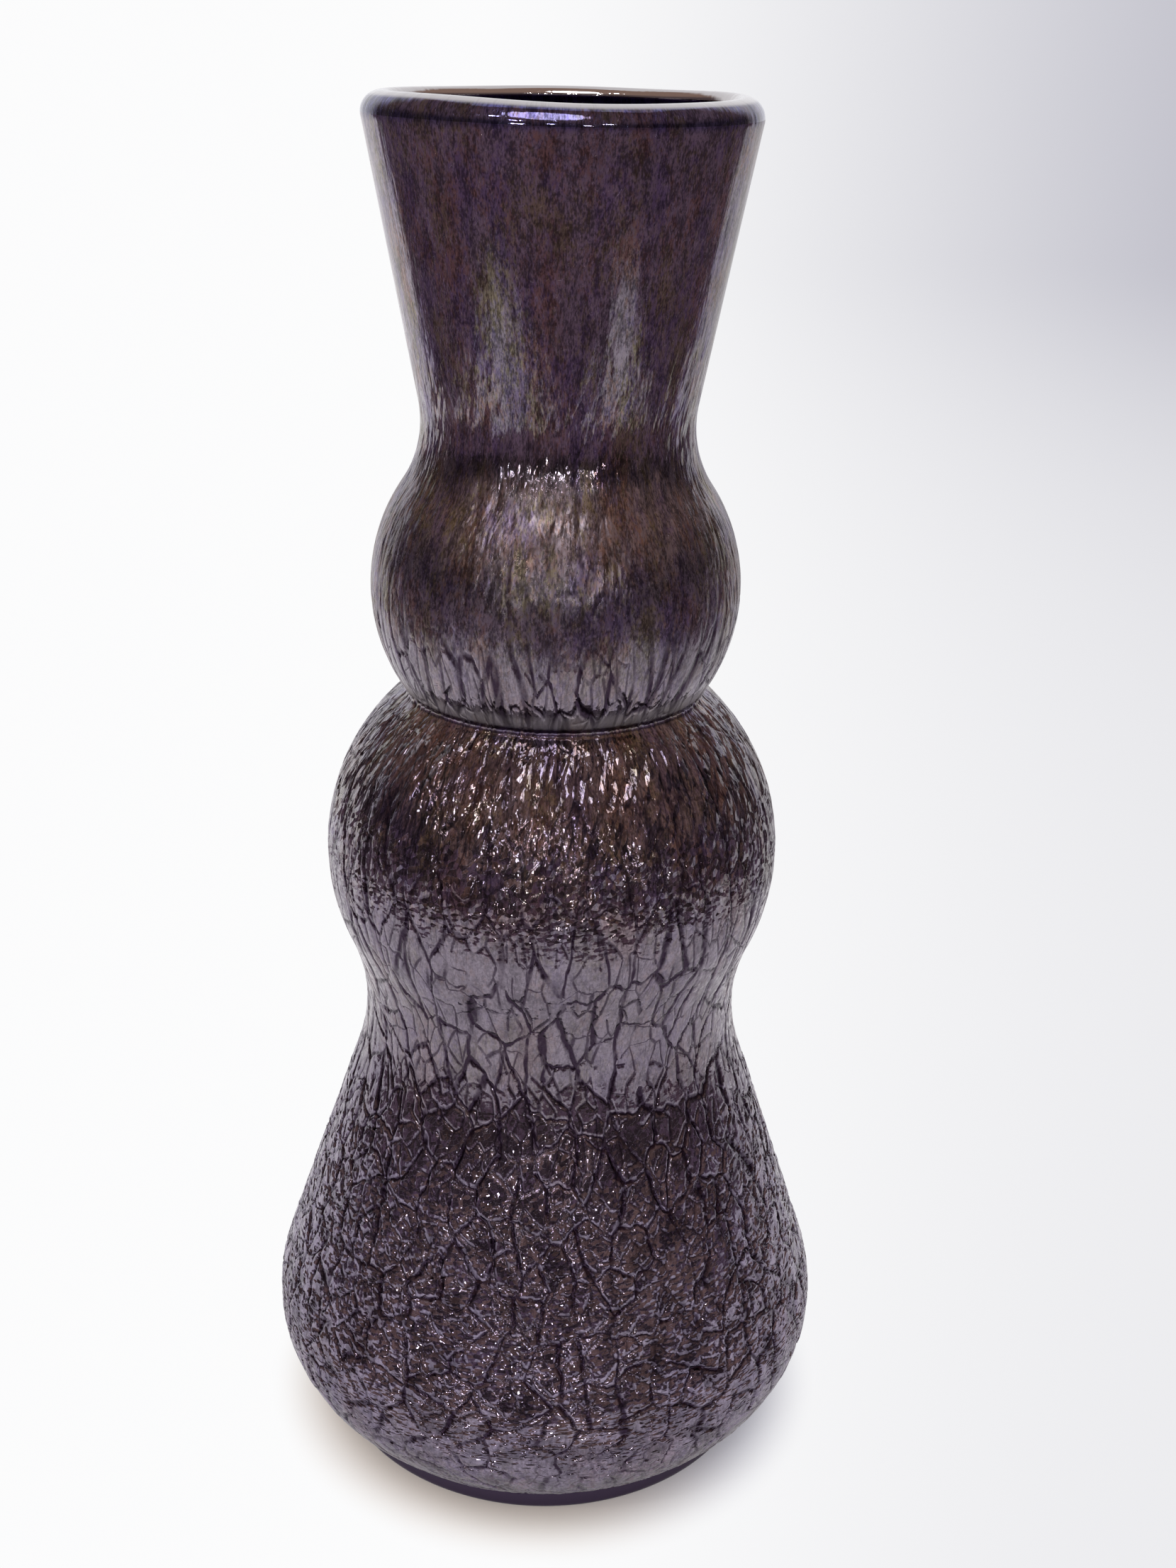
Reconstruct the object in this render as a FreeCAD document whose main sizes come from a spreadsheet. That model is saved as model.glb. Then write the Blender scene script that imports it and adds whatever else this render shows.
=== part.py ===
import FreeCAD
import Part
import math
import os
import Sketcher
from FreeCAD import Vector

# Vase of blown glass: a straight collar that opens to the rim, two bulbs with a
# sharp crease between them, a waist and a bell that stands on a smooth pad.
# Every piece is a body of revolution about Z. The origin is the middle of the
# resting face and +Z points up to the mouth. Lengths are in millimetres.

# Driving sizes of the outer surface, from the rim down. A radius is measured
# from the axis, and a curve is the radius of the arc that makes the bulge or
# the waist in the profile.
SIZES = [
    ("rim_radius", 38.8, "outside of the lip"),
    ("lip_outer_round", 4.2, "rounding on the outside of the lip"),
    ("lip_inner_round", 1.8, "rounding on the inside of the lip"),
    ("lip_depth", 7.5, "height of the lip ring"),
    ("collar_height", 97.7, "rim above the widest circle of the upper bulb"),
    ("neck_radius", 28.1, "narrowest circle below the collar"),
    ("neck_curve", 23.4, "hollow curve of the neck"),
    ("upper_radius", 38.8, "widest circle of the upper bulb"),
    ("upper_curve", 37.9, "curve of the upper bulb"),
    ("bulb_spacing", 59.0, "from one bulb's widest circle to the other's"),
    ("crease_round", 1.2, "rounding in the crease between the bulbs"),
    ("middle_radius", 49.4, "widest circle of the middle bulb"),
    ("middle_curve", 46.5, "curve of the middle bulb"),
    ("middle_height", 143.3, "widest circle of the middle bulb above the table"),
    ("waist_radius", 41.7, "narrowest circle of the waist"),
    ("waist_curve", 44.3, "hollow curve of the waist"),
    ("belly_radius", 64.0, "widest circle of the bell"),
    ("belly_curve", 28.0, "curve of the bell's lower part"),
    ("foot_radius", 50.7, "outside of the foot pad"),
    ("foot_height", 5.0, "thickness of the foot pad"),
    ("foot_edge_round", 1.6, "rounding at the pad's lower edge"),
    ("pontil_radius", 30.0, "edge of the ground hollow under the pad"),
    ("pontil_depth", 1.5, "rise of that hollow at the axis"),
    ("casing_wall", 2.0, "thickness of the crackled casing"),
    ("body_wall", 2.6, "thickness of the sound inner wall"),
    ("floor_thickness", 7.0, "glass between the pad and the inside"),
    ("floor_round", 6.0, "rounding where the inner wall meets the floor"),
]

# Sizes that follow from the driving ones, as formulas of the same sheet.
DERIVED = [
    ("full_wall", "casing_wall + body_wall"),
    ("upper_height", "middle_height + bulb_spacing"),
    ("full_height", "upper_height + collar_height"),
    ("joint_height", "full_height - lip_depth"),
    ("floor_height", "foot_height + floor_thickness"),
    ("upper_centre", "upper_radius - upper_curve"),
    ("middle_centre", "middle_radius - middle_curve"),
    ("belly_centre", "belly_radius - belly_curve"),
    ("neck_centre", "neck_radius + neck_curve"),
    ("waist_centre", "waist_radius + waist_curve"),
    ("lip_centre", "rim_radius - lip_outer_round"),
    ("lip_centre_height", "full_height - lip_outer_round"),
    ("belly_height", "foot_height + sqrt(belly_curve ^ 2 - (foot_radius - belly_centre) ^ 2)"),
    ("neck_height", "upper_height + sqrt((upper_curve + neck_curve) ^ 2 - (neck_centre - upper_centre) ^ 2)"),
    ("waist_height", "middle_height - sqrt((middle_curve + waist_curve) ^ 2 - (waist_centre - middle_centre) ^ 2)"),
    ("neck_reach", "sqrt((neck_centre - lip_centre) ^ 2 + (lip_centre_height - neck_height) ^ 2)"),
    ("collar_lean", "asin((lip_outer_round + neck_curve) / neck_reach)"
                    " - atan((neck_centre - lip_centre) / (lip_centre_height - neck_height))"),
    ("joint_radius", "neck_centre - neck_curve / cos(collar_lean)"
                     " + (joint_height - neck_height) * tan(collar_lean)"),
    ("joint_bore", "joint_radius - full_wall / cos(collar_lean)"),
]

doc = FreeCAD.newDocument("vase")


def make_sheet():
    sheet = doc.addObject("Spreadsheet::Sheet", "sizes")
    row = 1
    for alias, value, meaning in SIZES:
        sheet.set("A%d" % row, str(value))
        sheet.set("B%d" % row, meaning)
        sheet.setAlias("A%d" % row, alias)
        row += 1
    for alias, formula in DERIVED:
        sheet.set("A%d" % row, "=" + formula)
        sheet.setAlias("A%d" % row, alias)
        row += 1
    doc.recompute()
    return sheet


sizes = make_sheet()


def size(alias):
    value = getattr(sizes, alias)
    return value.Value if hasattr(value, "Value") else float(value)


class Profile:
    """A closed outline in the XZ plane, drawn in one sketch of its own body."""

    def __init__(self, label):
        self.body = doc.addObject("PartDesign::Body", label)
        self.body.Label = label
        self.body.Placement = FreeCAD.Placement()
        plane = [f for f in self.body.Origin.OriginFeatures if f.Role == "XZ_Plane"][0]
        self.sketch = self.body.newObject("Sketcher::SketchObject", label + "_profile")
        self.sketch.AttachmentSupport = [(plane, "")]
        self.sketch.MapMode = "FlatFace"
        doc.recompute()

    def bind(self, kind, geometry, formula, *points):
        """A dimension on one element or point, tied to a formula of the sheet."""
        values = {"Radius": self.radius_of, "DistanceX": self.across_of,
                  "DistanceY": self.above_of, "Angle": self.angle_of}
        number = values[kind](geometry, *points)
        index = self.sketch.addConstraint(Sketcher.Constraint(kind, geometry, *points, number))
        self.sketch.setExpression("Constraints[%d]" % index, formula)
        return index

    def radius_of(self, geometry):
        return self.sketch.Geometry[geometry].Radius

    def across_of(self, geometry, point):
        return self.sketch.getPoint(geometry, point).x

    def above_of(self, geometry, point):
        return self.sketch.getPoint(geometry, point).y

    def angle_of(self, geometry):
        way = self.sketch.Geometry[geometry]
        return math.atan2(way.EndPoint.y - way.StartPoint.y, way.EndPoint.x - way.StartPoint.x)

    def line(self, start, end):
        return self.sketch.addGeometry(Part.LineSegment(flat(start), flat(end)), False)

    def arc(self, centre, radius, first, last):
        """An arc that runs counter-clockwise from the point first to the point last."""
        angles = [math.atan2(p[1] - centre[1], p[0] - centre[0]) for p in (first, last)]
        if angles[1] < angles[0]:
            angles[1] += 2 * math.pi
        circle = Part.Circle(flat(centre), Vector(0, 0, 1), radius)
        return self.sketch.addGeometry(Part.ArcOfCircle(circle, angles[0], angles[1]), False)

    def join(self, first, first_end, second, second_end):
        self.sketch.addConstraint(Sketcher.Constraint("Coincident", first, first_end, second, second_end))

    def blend(self, first, first_end, second, second_end):
        self.sketch.addConstraint(Sketcher.Constraint("Tangent", first, first_end, second, second_end))

    def level(self, geometry):
        self.sketch.addConstraint(Sketcher.Constraint("Horizontal", geometry))

    def upright(self, geometry):
        self.sketch.addConstraint(Sketcher.Constraint("Vertical", geometry))

    def rest_on(self, geometry, point, line):
        self.sketch.addConstraint(Sketcher.Constraint("PointOnObject", geometry, point, line))

    def turn(self):
        """Turn the outline a full circle about Z."""
        doc.recompute()
        turned = self.body.newObject("PartDesign::Revolution", self.body.Name + "_turned")
        turned.Profile = self.sketch
        turned.ReferenceAxis = (self.sketch, ["V_Axis"])
        turned.Angle = 360
        self.sketch.Visibility = False
        doc.recompute()
        return self.body


START, END, CENTRE = 1, 2, 3
GROUND_LINE, AXIS_LINE = -1, -2


def flat(point):
    """A point of the profile, distance from the axis and height, as a sketch point."""
    return Vector(point[0], point[1], 0)


def toward(start, end, distance):
    """The point at a distance from start, on the way to end."""
    span = math.hypot(end[0] - start[0], end[1] - start[1])
    return (start[0] + (end[0] - start[0]) * distance / span,
            start[1] + (end[1] - start[1]) * distance / span)


def meeting(centre_a, radius_a, centre_b, radius_b):
    """Where two circles cross, on the side away from the axis."""
    span = math.hypot(centre_b[0] - centre_a[0], centre_b[1] - centre_a[1])
    along = (radius_a ** 2 - radius_b ** 2 + span ** 2) / (2 * span)
    aside = math.sqrt(radius_a ** 2 - along ** 2)
    foot = toward(centre_a, centre_b, along)
    side = ((centre_a[1] - centre_b[1]) * aside / span, (centre_b[0] - centre_a[0]) * aside / span)
    return max((foot[0] + side[0], foot[1] + side[1]), (foot[0] - side[0], foot[1] - side[1]))


def centres():
    """The centres of the arcs that every layer of the wall shares."""
    upper = (size("upper_centre"), size("upper_height"))
    middle = (size("middle_centre"), size("middle_height"))
    reach = size("crease_round")
    return {"neck": (size("neck_centre"), size("neck_height")),
            "upper": upper,
            "crease": meeting(upper, size("upper_curve") + reach, middle, size("middle_curve") + reach),
            "middle": middle,
            "waist": (size("waist_centre"), size("waist_height")),
            "belly": (size("belly_centre"), size("belly_height"))}


def draw_wall_line(profile, depth, last_point):
    """One outline of the wall, from the lip joint down to last_point.

    depth names the size that the outline lies below the outer surface, or is
    None for the outer surface itself. Returns the elements by name.
    """
    inset = size(depth) if depth else 0.0
    less = " - sizes." + depth if depth else ""
    more = " + sizes." + depth if depth else ""
    at = centres()
    lean = math.radians(size("collar_lean"))
    outward = (math.cos(lean), -math.sin(lean))
    span = math.hypot(at["waist"][0] - at["belly"][0], at["waist"][1] - at["belly"][1])
    rise = math.atan2(at["waist"][1] - at["belly"][1], at["waist"][0] - at["belly"][0])
    flank = rise - math.acos((size("waist_curve") + size("belly_curve")) / span)
    side = (math.cos(flank), math.sin(flank))
    bend = {name: size(name + "_curve") - inset for name in ("upper", "middle", "belly")}
    hollow = {"neck": size("neck_curve") + inset, "waist": size("waist_curve") + inset,
              "crease": size("crease_round") + inset}

    collar_foot = (at["neck"][0] - hollow["neck"] * outward[0], at["neck"][1] - hollow["neck"] * outward[1])
    climb = size("joint_height") - collar_foot[1]
    collar_top = (collar_foot[0] + climb * math.tan(lean), size("joint_height"))
    neck_end = toward(at["upper"], at["neck"], bend["upper"])
    upper_end = toward(at["upper"], at["crease"], bend["upper"])
    crease_end = toward(at["middle"], at["crease"], bend["middle"])
    middle_end = toward(at["middle"], at["waist"], bend["middle"])
    flank_top = (at["waist"][0] - hollow["waist"] * side[0], at["waist"][1] - hollow["waist"] * side[1])
    flank_foot = (at["belly"][0] + bend["belly"] * side[0], at["belly"][1] + bend["belly"] * side[1])

    wall = {"collar": profile.line(collar_foot, collar_top),
            "neck": profile.arc(at["neck"], hollow["neck"], collar_foot, neck_end),
            "upper": profile.arc(at["upper"], bend["upper"], upper_end, neck_end),
            "crease": profile.arc(at["crease"], hollow["crease"], upper_end, crease_end),
            "middle": profile.arc(at["middle"], bend["middle"], middle_end, crease_end),
            "waist": profile.arc(at["waist"], hollow["waist"], middle_end, flank_top),
            "flank": profile.line(flank_top, flank_foot),
            "belly": profile.arc(at["belly"], bend["belly"], last_point, flank_foot)}

    profile.blend(wall["collar"], START, wall["neck"], START)
    profile.blend(wall["neck"], END, wall["upper"], END)
    profile.blend(wall["upper"], START, wall["crease"], START)
    profile.blend(wall["crease"], END, wall["middle"], END)
    profile.blend(wall["middle"], START, wall["waist"], START)
    profile.blend(wall["waist"], END, wall["flank"], START)
    profile.blend(wall["flank"], END, wall["belly"], END)
    for name in ("upper", "middle", "belly"):
        profile.bind("Radius", wall[name], "sizes.%s_curve%s" % (name, less))
        profile.bind("DistanceX", wall[name], "sizes.%s_centre" % name, CENTRE)
        profile.bind("DistanceY", wall[name], "sizes.%s_height" % name, CENTRE)
    for name in ("neck", "waist"):
        profile.bind("Radius", wall[name], "sizes.%s_curve%s" % (name, more))
        profile.bind("DistanceX", wall[name], "sizes.%s_centre" % name, CENTRE)
    profile.bind("Radius", wall["crease"], "sizes.crease_round" + more)
    profile.bind("Angle", wall["collar"], "90deg - sizes.collar_lean")
    return wall


def belly_end(depth):
    """Where the belly arc of a layer ends: square across the wall from the pad's top edge."""
    curve = size("belly_curve") - (size(depth) if depth else 0.0)
    return toward((size("belly_centre"), size("belly_height")), (size("foot_radius"), size("foot_height")), curve)


def make_crackle_casing():
    """The outer gather, crackled and lustred, from the lip joint to the foot pad."""
    profile = Profile("crackle_casing")
    outer = draw_wall_line(profile, None, belly_end(None))
    inner = draw_wall_line(profile, "casing_wall", belly_end("casing_wall"))
    sketch = profile.sketch
    ends = [(sketch.getPoint(wall["collar"], END), sketch.getPoint(wall["belly"], START)) for wall in (outer, inner)]
    top = profile.line((ends[0][0].x, ends[0][0].y), (ends[1][0].x, ends[1][0].y))
    bottom = profile.line((ends[0][1].x, ends[0][1].y), (ends[1][1].x, ends[1][1].y))
    profile.join(top, START, outer["collar"], END)
    profile.join(top, END, inner["collar"], END)
    profile.join(bottom, START, outer["belly"], START)
    profile.join(bottom, END, inner["belly"], START)
    profile.level(top)
    profile.rest_on(outer["belly"], CENTRE, bottom)
    profile.bind("DistanceY", top, "sizes.joint_height", START)
    profile.bind("DistanceY", bottom, "sizes.foot_height", START)
    return profile.turn()


def make_amethyst_body():
    """The sound inner gather that holds the water: the wall and the thick floor."""
    profile = Profile("amethyst_body")
    floor = size("floor_height")
    turn_round = size("floor_round")
    curve = size("belly_curve") - size("full_wall")
    centre_height = floor + turn_round
    aside = math.sqrt((curve - turn_round) ** 2 - (size("belly_height") - centre_height) ** 2)
    round_centre = (size("belly_centre") + aside, centre_height)
    belly = (size("belly_centre"), size("belly_height"))
    round_top = toward(belly, round_centre, curve)
    outer = draw_wall_line(profile, "casing_wall", belly_end("casing_wall"))
    inner = draw_wall_line(profile, "full_wall", round_top)
    sketch = profile.sketch
    corner = profile.arc(round_centre, turn_round, (round_centre[0], floor), round_top)
    ledge = profile.line((round_centre[0], floor), (0, floor))
    axis = profile.line((0, floor), (0, size("foot_height")))
    seat = profile.line((0, size("foot_height")), (size("foot_radius"), size("foot_height")))
    shoulder = profile.line((size("foot_radius"), size("foot_height")), belly_end("casing_wall"))
    tops = [sketch.getPoint(wall["collar"], END) for wall in (outer, inner)]
    top = profile.line((tops[0].x, tops[0].y), (tops[1].x, tops[1].y))
    profile.blend(corner, END, inner["belly"], START)
    profile.blend(corner, START, ledge, START)
    profile.join(ledge, END, axis, START)
    profile.join(axis, END, seat, START)
    profile.join(seat, END, shoulder, START)
    profile.join(shoulder, END, outer["belly"], START)
    profile.rest_on(outer["belly"], CENTRE, shoulder)
    profile.join(top, START, outer["collar"], END)
    profile.join(top, END, inner["collar"], END)
    for flat_line in (ledge, seat, top):
        profile.level(flat_line)
    profile.rest_on(axis, START, AXIS_LINE)
    profile.rest_on(axis, END, AXIS_LINE)
    profile.bind("Radius", corner, "sizes.floor_round")
    profile.bind("DistanceY", top, "sizes.joint_height", START)
    profile.bind("DistanceY", ledge, "sizes.floor_height", END)
    profile.bind("DistanceY", seat, "sizes.foot_height", START)
    profile.bind("DistanceX", seat, "sizes.foot_radius", END)
    return profile.turn()


def make_lip_ring():
    """The fire-polished lip, as thick as both layers, rounded over at the rim."""
    profile = Profile("lip_ring")
    lean = math.radians(size("collar_lean"))
    outer_round, inner_round = size("lip_outer_round"), size("lip_inner_round")
    outer_centre = (size("lip_centre"), size("lip_centre_height"))
    inner_centre = (outer_centre[0], size("full_height") - inner_round)
    crest = (outer_centre[0], size("full_height"))
    shoulder = (outer_centre[0] + outer_round * math.cos(lean), outer_centre[1] - outer_round * math.sin(lean))
    joint_outer = (size("joint_radius"), size("joint_height"))
    joint_inner = (size("joint_bore"), size("joint_height"))
    span = math.hypot(inner_centre[0] - joint_inner[0], inner_centre[1] - joint_inner[1])
    rise = math.atan2(inner_centre[1] - joint_inner[1], inner_centre[0] - joint_inner[0])
    way = rise + math.asin(inner_round / span)
    run = math.sqrt(span ** 2 - inner_round ** 2)
    mouth = (joint_inner[0] + run * math.cos(way), joint_inner[1] + run * math.sin(way))
    outside = profile.line(joint_outer, shoulder)
    outer_arc = profile.arc(outer_centre, outer_round, shoulder, crest)
    inner_arc = profile.arc(inner_centre, inner_round, crest, mouth)
    inside = profile.line(mouth, joint_inner)
    joint = profile.line(joint_inner, joint_outer)
    profile.blend(outside, END, outer_arc, START)
    profile.blend(outer_arc, END, inner_arc, START)
    profile.blend(inner_arc, END, inside, START)
    profile.join(inside, END, joint, START)
    profile.join(joint, END, outside, START)
    profile.level(joint)
    profile.bind("Radius", outer_arc, "sizes.lip_outer_round")
    profile.bind("DistanceX", outer_arc, "sizes.lip_centre", CENTRE)
    profile.bind("DistanceY", outer_arc, "sizes.lip_centre_height", CENTRE)
    profile.sketch.addConstraint(Sketcher.Constraint("Vertical", outer_arc, CENTRE, outer_arc, END))
    profile.bind("Radius", inner_arc, "sizes.lip_inner_round")
    profile.bind("DistanceY", joint, "sizes.joint_height", START)
    profile.bind("DistanceX", joint, "sizes.joint_bore", START)
    profile.bind("DistanceX", joint, "sizes.joint_radius", END)
    return profile.turn()


def make_foot_pad():
    """The smooth pad that the vase stands on, ground hollow underneath."""
    profile = Profile("foot_pad")
    foot, height = size("foot_radius"), size("foot_height")
    edge, hollow, depth = size("foot_edge_round"), size("pontil_radius"), size("pontil_depth")
    dome = (hollow ** 2 + depth ** 2) / (2 * depth)
    axis = profile.line((0, height), (0, depth))
    roof = profile.arc((0, depth - dome), dome, (hollow, 0), (0, depth))
    rest = profile.line((hollow, 0), (foot - edge, 0))
    corner = profile.arc((foot - edge, edge), edge, (foot - edge, 0), (foot, edge))
    side = profile.line((foot, edge), (foot, height))
    seat = profile.line((foot, height), (0, height))
    profile.join(axis, END, roof, END)
    profile.join(roof, START, rest, START)
    profile.blend(rest, END, corner, START)
    profile.blend(corner, END, side, START)
    profile.join(side, END, seat, START)
    profile.join(seat, END, axis, START)
    profile.upright(side)
    profile.level(seat)
    profile.rest_on(axis, START, AXIS_LINE)
    profile.rest_on(axis, END, AXIS_LINE)
    profile.rest_on(roof, CENTRE, AXIS_LINE)
    profile.rest_on(rest, START, GROUND_LINE)
    profile.rest_on(rest, END, GROUND_LINE)
    profile.bind("Radius", corner, "sizes.foot_edge_round")
    profile.bind("DistanceY", axis, "sizes.pontil_depth", END)
    profile.bind("DistanceX", rest, "sizes.pontil_radius", START)
    profile.bind("DistanceX", side, "sizes.foot_radius", END)
    profile.bind("DistanceY", side, "sizes.foot_height", END)
    return profile.turn()


def check(pieces):
    """Stop before anything is written if an object failed or a shape is bad."""
    for thing in doc.Objects:
        for state in ("Invalid", "Error"):
            if state in thing.State:
                raise RuntimeError("%s is %s" % (thing.Label, state))
    for piece in pieces:
        if piece.Shape.isNull() or not piece.Shape.isValid():
            raise RuntimeError("%s has no valid shape" % piece.Label)
        if len(piece.Shape.Solids) != 1:
            raise RuntimeError("%s is not one solid" % piece.Label)


def write(pieces):
    os.makedirs("parts", exist_ok=True)
    for piece in pieces:
        piece.Shape.exportStep("parts/%s.step" % piece.Label)
        box = piece.Shape.optimalBoundingBox()
        print("%-16s volume %9.1f mm3, radius %6.2f, height %7.2f to %7.2f"
              % (piece.Label, piece.Shape.Volume, box.XMax, box.ZMin, box.ZMax))


pieces = [make_lip_ring(), make_crackle_casing(), make_amethyst_body(), make_foot_pad()]
doc.recompute()
check(pieces)
write(pieces)
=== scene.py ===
import math

import bpy
import numpy as np
from bpy.props import FloatProperty, FloatVectorProperty, IntProperty, PointerProperty
from mathutils import Matrix, Vector


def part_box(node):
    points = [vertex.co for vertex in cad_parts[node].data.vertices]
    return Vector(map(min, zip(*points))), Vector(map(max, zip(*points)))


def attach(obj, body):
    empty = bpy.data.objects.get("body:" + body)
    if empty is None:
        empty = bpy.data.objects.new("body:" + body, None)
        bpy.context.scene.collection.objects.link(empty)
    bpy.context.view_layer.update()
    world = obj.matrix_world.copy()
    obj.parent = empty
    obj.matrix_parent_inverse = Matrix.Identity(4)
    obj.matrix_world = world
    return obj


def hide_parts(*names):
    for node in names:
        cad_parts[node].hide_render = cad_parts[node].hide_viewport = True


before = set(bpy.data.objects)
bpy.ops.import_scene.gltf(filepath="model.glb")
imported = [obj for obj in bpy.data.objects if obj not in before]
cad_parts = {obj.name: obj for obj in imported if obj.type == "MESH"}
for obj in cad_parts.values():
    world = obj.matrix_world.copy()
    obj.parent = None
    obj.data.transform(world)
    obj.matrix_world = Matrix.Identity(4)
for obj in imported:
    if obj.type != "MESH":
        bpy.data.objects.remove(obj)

bl_info = {
    "name": "Lustred crackle vase",
    "version": (1, 0, 0),
    "blender": (4, 5, 0),
    "location": "View3D > Sidebar > Vase",
    "description": "A blown-glass vase: crackled casing, fire-polished lip, amethyst body and foot pad",
    "category": "Object",
}

MM = 0.001
FULL_TURN = 2 * math.pi
PHOTO_HEIGHT = 2212  # pixels
SKIN_LABELS = ("skin", "draw", "zones")  # what the crackle reads from the mesh


def length(name, value, note):
    """A size in metres, shown with the scene's length unit."""
    return FloatProperty(name=name, description=note, default=value, unit="LENGTH", precision=5)


def colour(name, value, note):
    return FloatVectorProperty(name=name, description=note, default=value, size=3, subtype="COLOR",
                               min=0.0, max=1.0)


def tilt(name, degrees, note):
    return FloatProperty(name=name, description=note, default=math.radians(degrees), subtype="ANGLE")


def amount(name, value, note):
    return FloatProperty(name=name, description=note, default=value, min=0.0)


LIP_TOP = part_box("lip_ring")[1]
CASING_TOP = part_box("crackle_casing")[1]
FOOT_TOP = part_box("foot_pad")[1]


class VaseSizes(bpy.types.PropertyGroup):
    """The outline of the glass. The overall sizes come from the frame."""

    height: length("Height", LIP_TOP[2], "rim above the table")
    rim_radius: length("Rim radius", LIP_TOP[0], "outside of the lip")
    lip_outer_round: length("Outer lip rounding", 4.2 * MM, "rounding on the outside of the lip")
    lip_inner_round: length("Inner lip rounding", 1.8 * MM, "rounding on the inside of the lip")
    joint_height: length("Lip joint", CASING_TOP[2], "top of the casing, where the lip begins")
    neck_radius: length("Neck radius", 28.1 * MM, "narrowest circle under the collar")
    neck_curve: length("Neck curve", 23.4 * MM, "hollow curve of the neck")
    upper_radius: length("Upper bulb radius", 38.8 * MM, "widest circle of the upper bulb")
    upper_curve: length("Upper bulb curve", 37.9 * MM, "curve of the upper bulb")
    upper_height: length("Upper bulb height", 202.3 * MM, "widest circle of the upper bulb above the table")
    crease_round: length("Crease rounding", 1.2 * MM, "rounding in the crease between the bulbs")
    middle_radius: length("Middle bulb radius", 49.4 * MM, "widest circle of the middle bulb")
    middle_curve: length("Middle bulb curve", 46.5 * MM, "curve of the middle bulb")
    middle_height: length("Middle bulb height", 143.3 * MM,
                          "widest circle of the middle bulb above the table")
    waist_radius: length("Waist radius", 41.7 * MM, "narrowest circle of the waist")
    waist_curve: length("Waist curve", 44.3 * MM, "hollow curve of the waist")
    belly_radius: length("Belly radius", CASING_TOP[0], "widest circle of the bell")
    belly_curve: length("Belly curve", 28.0 * MM, "curve of the bell's lower part")
    foot_radius: length("Foot radius", FOOT_TOP[0], "outside of the foot pad")
    foot_height: length("Foot height", FOOT_TOP[2], "thickness of the foot pad")
    foot_edge_round: length("Foot edge rounding", 1.6 * MM, "rounding at the pad's lower edge")
    pontil_radius: length("Pontil radius", 30.0 * MM, "edge of the ground hollow under the pad")
    pontil_depth: length("Pontil depth", 1.5 * MM, "rise of that hollow at the axis")
    casing_wall: length("Casing wall", 2.0 * MM, "thickness of the crackled casing")
    body_wall: length("Body wall", 2.6 * MM, "thickness of the sound inner wall")
    floor_thickness: length("Floor thickness", 7.0 * MM, "glass between the pad and the inside")
    floor_round: length("Floor rounding", 6.0 * MM, "rounding where the inner wall meets the floor")
    lip_wobble: length("Lip wobble", 0.25 * MM, "how far the hand-made rim strays from level")


class CrackleFinish(bpy.types.PropertyGroup):
    """The crackle of the casing."""

    columns: IntProperty(name="Columns", description="faces round the casing", default=840, min=16)
    core_radius: length("Core radius", 46 * MM, "radius of the gather when it was chilled and crazed")
    main_cell: length("Main cell", 6.3 * MM, "width of the cells between the main cracks")
    fine_cell: length("Fine cell", 3.1 * MM, "width of the cells between the finer cracks")
    main_depth: length("Main depth", 0.42 * MM, "depth of a main crack")
    fine_depth: length("Fine depth", 0.34 * MM, "depth of a finer crack")
    swell: length("Swell", 0.30 * MM, "rise and fall of the skin between cracks")
    streak_depth: length("Streak depth", 0.10 * MM, "depth of the upright streaks")
    seed: FloatProperty(name="Seed", description="picks another crackle of the same kind", default=3.0)


class GlassColours(bpy.types.PropertyGroup):
    """Colours of the lustre and of the glass under it."""

    silver: colour("Silver lustre", (0.214, 0.187, 0.220), "the plain lustre")
    copper: colour("Copper lustre", (0.208, 0.140, 0.122), "the warm flecks")
    gold: colour("Gold lustre", (0.190, 0.165, 0.115), "the greenish-gold flecks")
    violet: colour("Violet lustre", (0.145, 0.117, 0.200), "the cool flecks")
    dusk: colour("Dusk lustre", (0.214, 0.188, 0.272), "the bell's lustre")
    mouth: colour("Mouth", (0.075, 0.042, 0.110), "the inside of the vase")
    # Painted into the grooves of the cracks and hair lines as painted shade.
    amethyst: colour("Amethyst glass", (0.020, 0.009, 0.024), "the glass in the cracks and inside")
    # Painted shade that darkens the rounding of the lip.
    lip: colour("Lip tint", (0.52, 0.56, 0.92), "how the lustre darkens on the rounding of the lip")
    # Painted highlight on the crest of the lip and in the crease between the bulbs.
    crest: colour("Crest", (0.50, 0.47, 0.47), "the fire-polished crest of the lip")
    foot: colour("Foot glass", (0.085, 0.062, 0.105), "the smooth foot")


class StudioSettings(bpy.types.PropertyGroup):
    """The stage, the light and the photograph's camera."""

    camera_distance: length("Camera distance", 386.8 * MM, "from the axis of the vase")
    camera_height: length("Camera height", 315.0 * MM, "above the table")
    camera_pitch: tilt("Pitch", 22.25, "looking down")
    camera_roll: tilt("Roll", 1.29, "tilt of the picture")
    camera_yaw: tilt("Yaw", 1.14, "turned to the right")
    focal_pixels: FloatProperty(name="Focal length", description="in pixels of the photograph",
                                default=2682.5)
    table_front: length("Table front", 0.42, "front edge of the white table that the glass mirrors")
    table_side: length("Table side", 0.40, "side edges of that table")
    world_level: amount("World level", 0.92, "soft light from all round")
    floor_glow: amount("Floor glow", 0.10, "how plain a white the camera sees at the foot of the vase")


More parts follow.
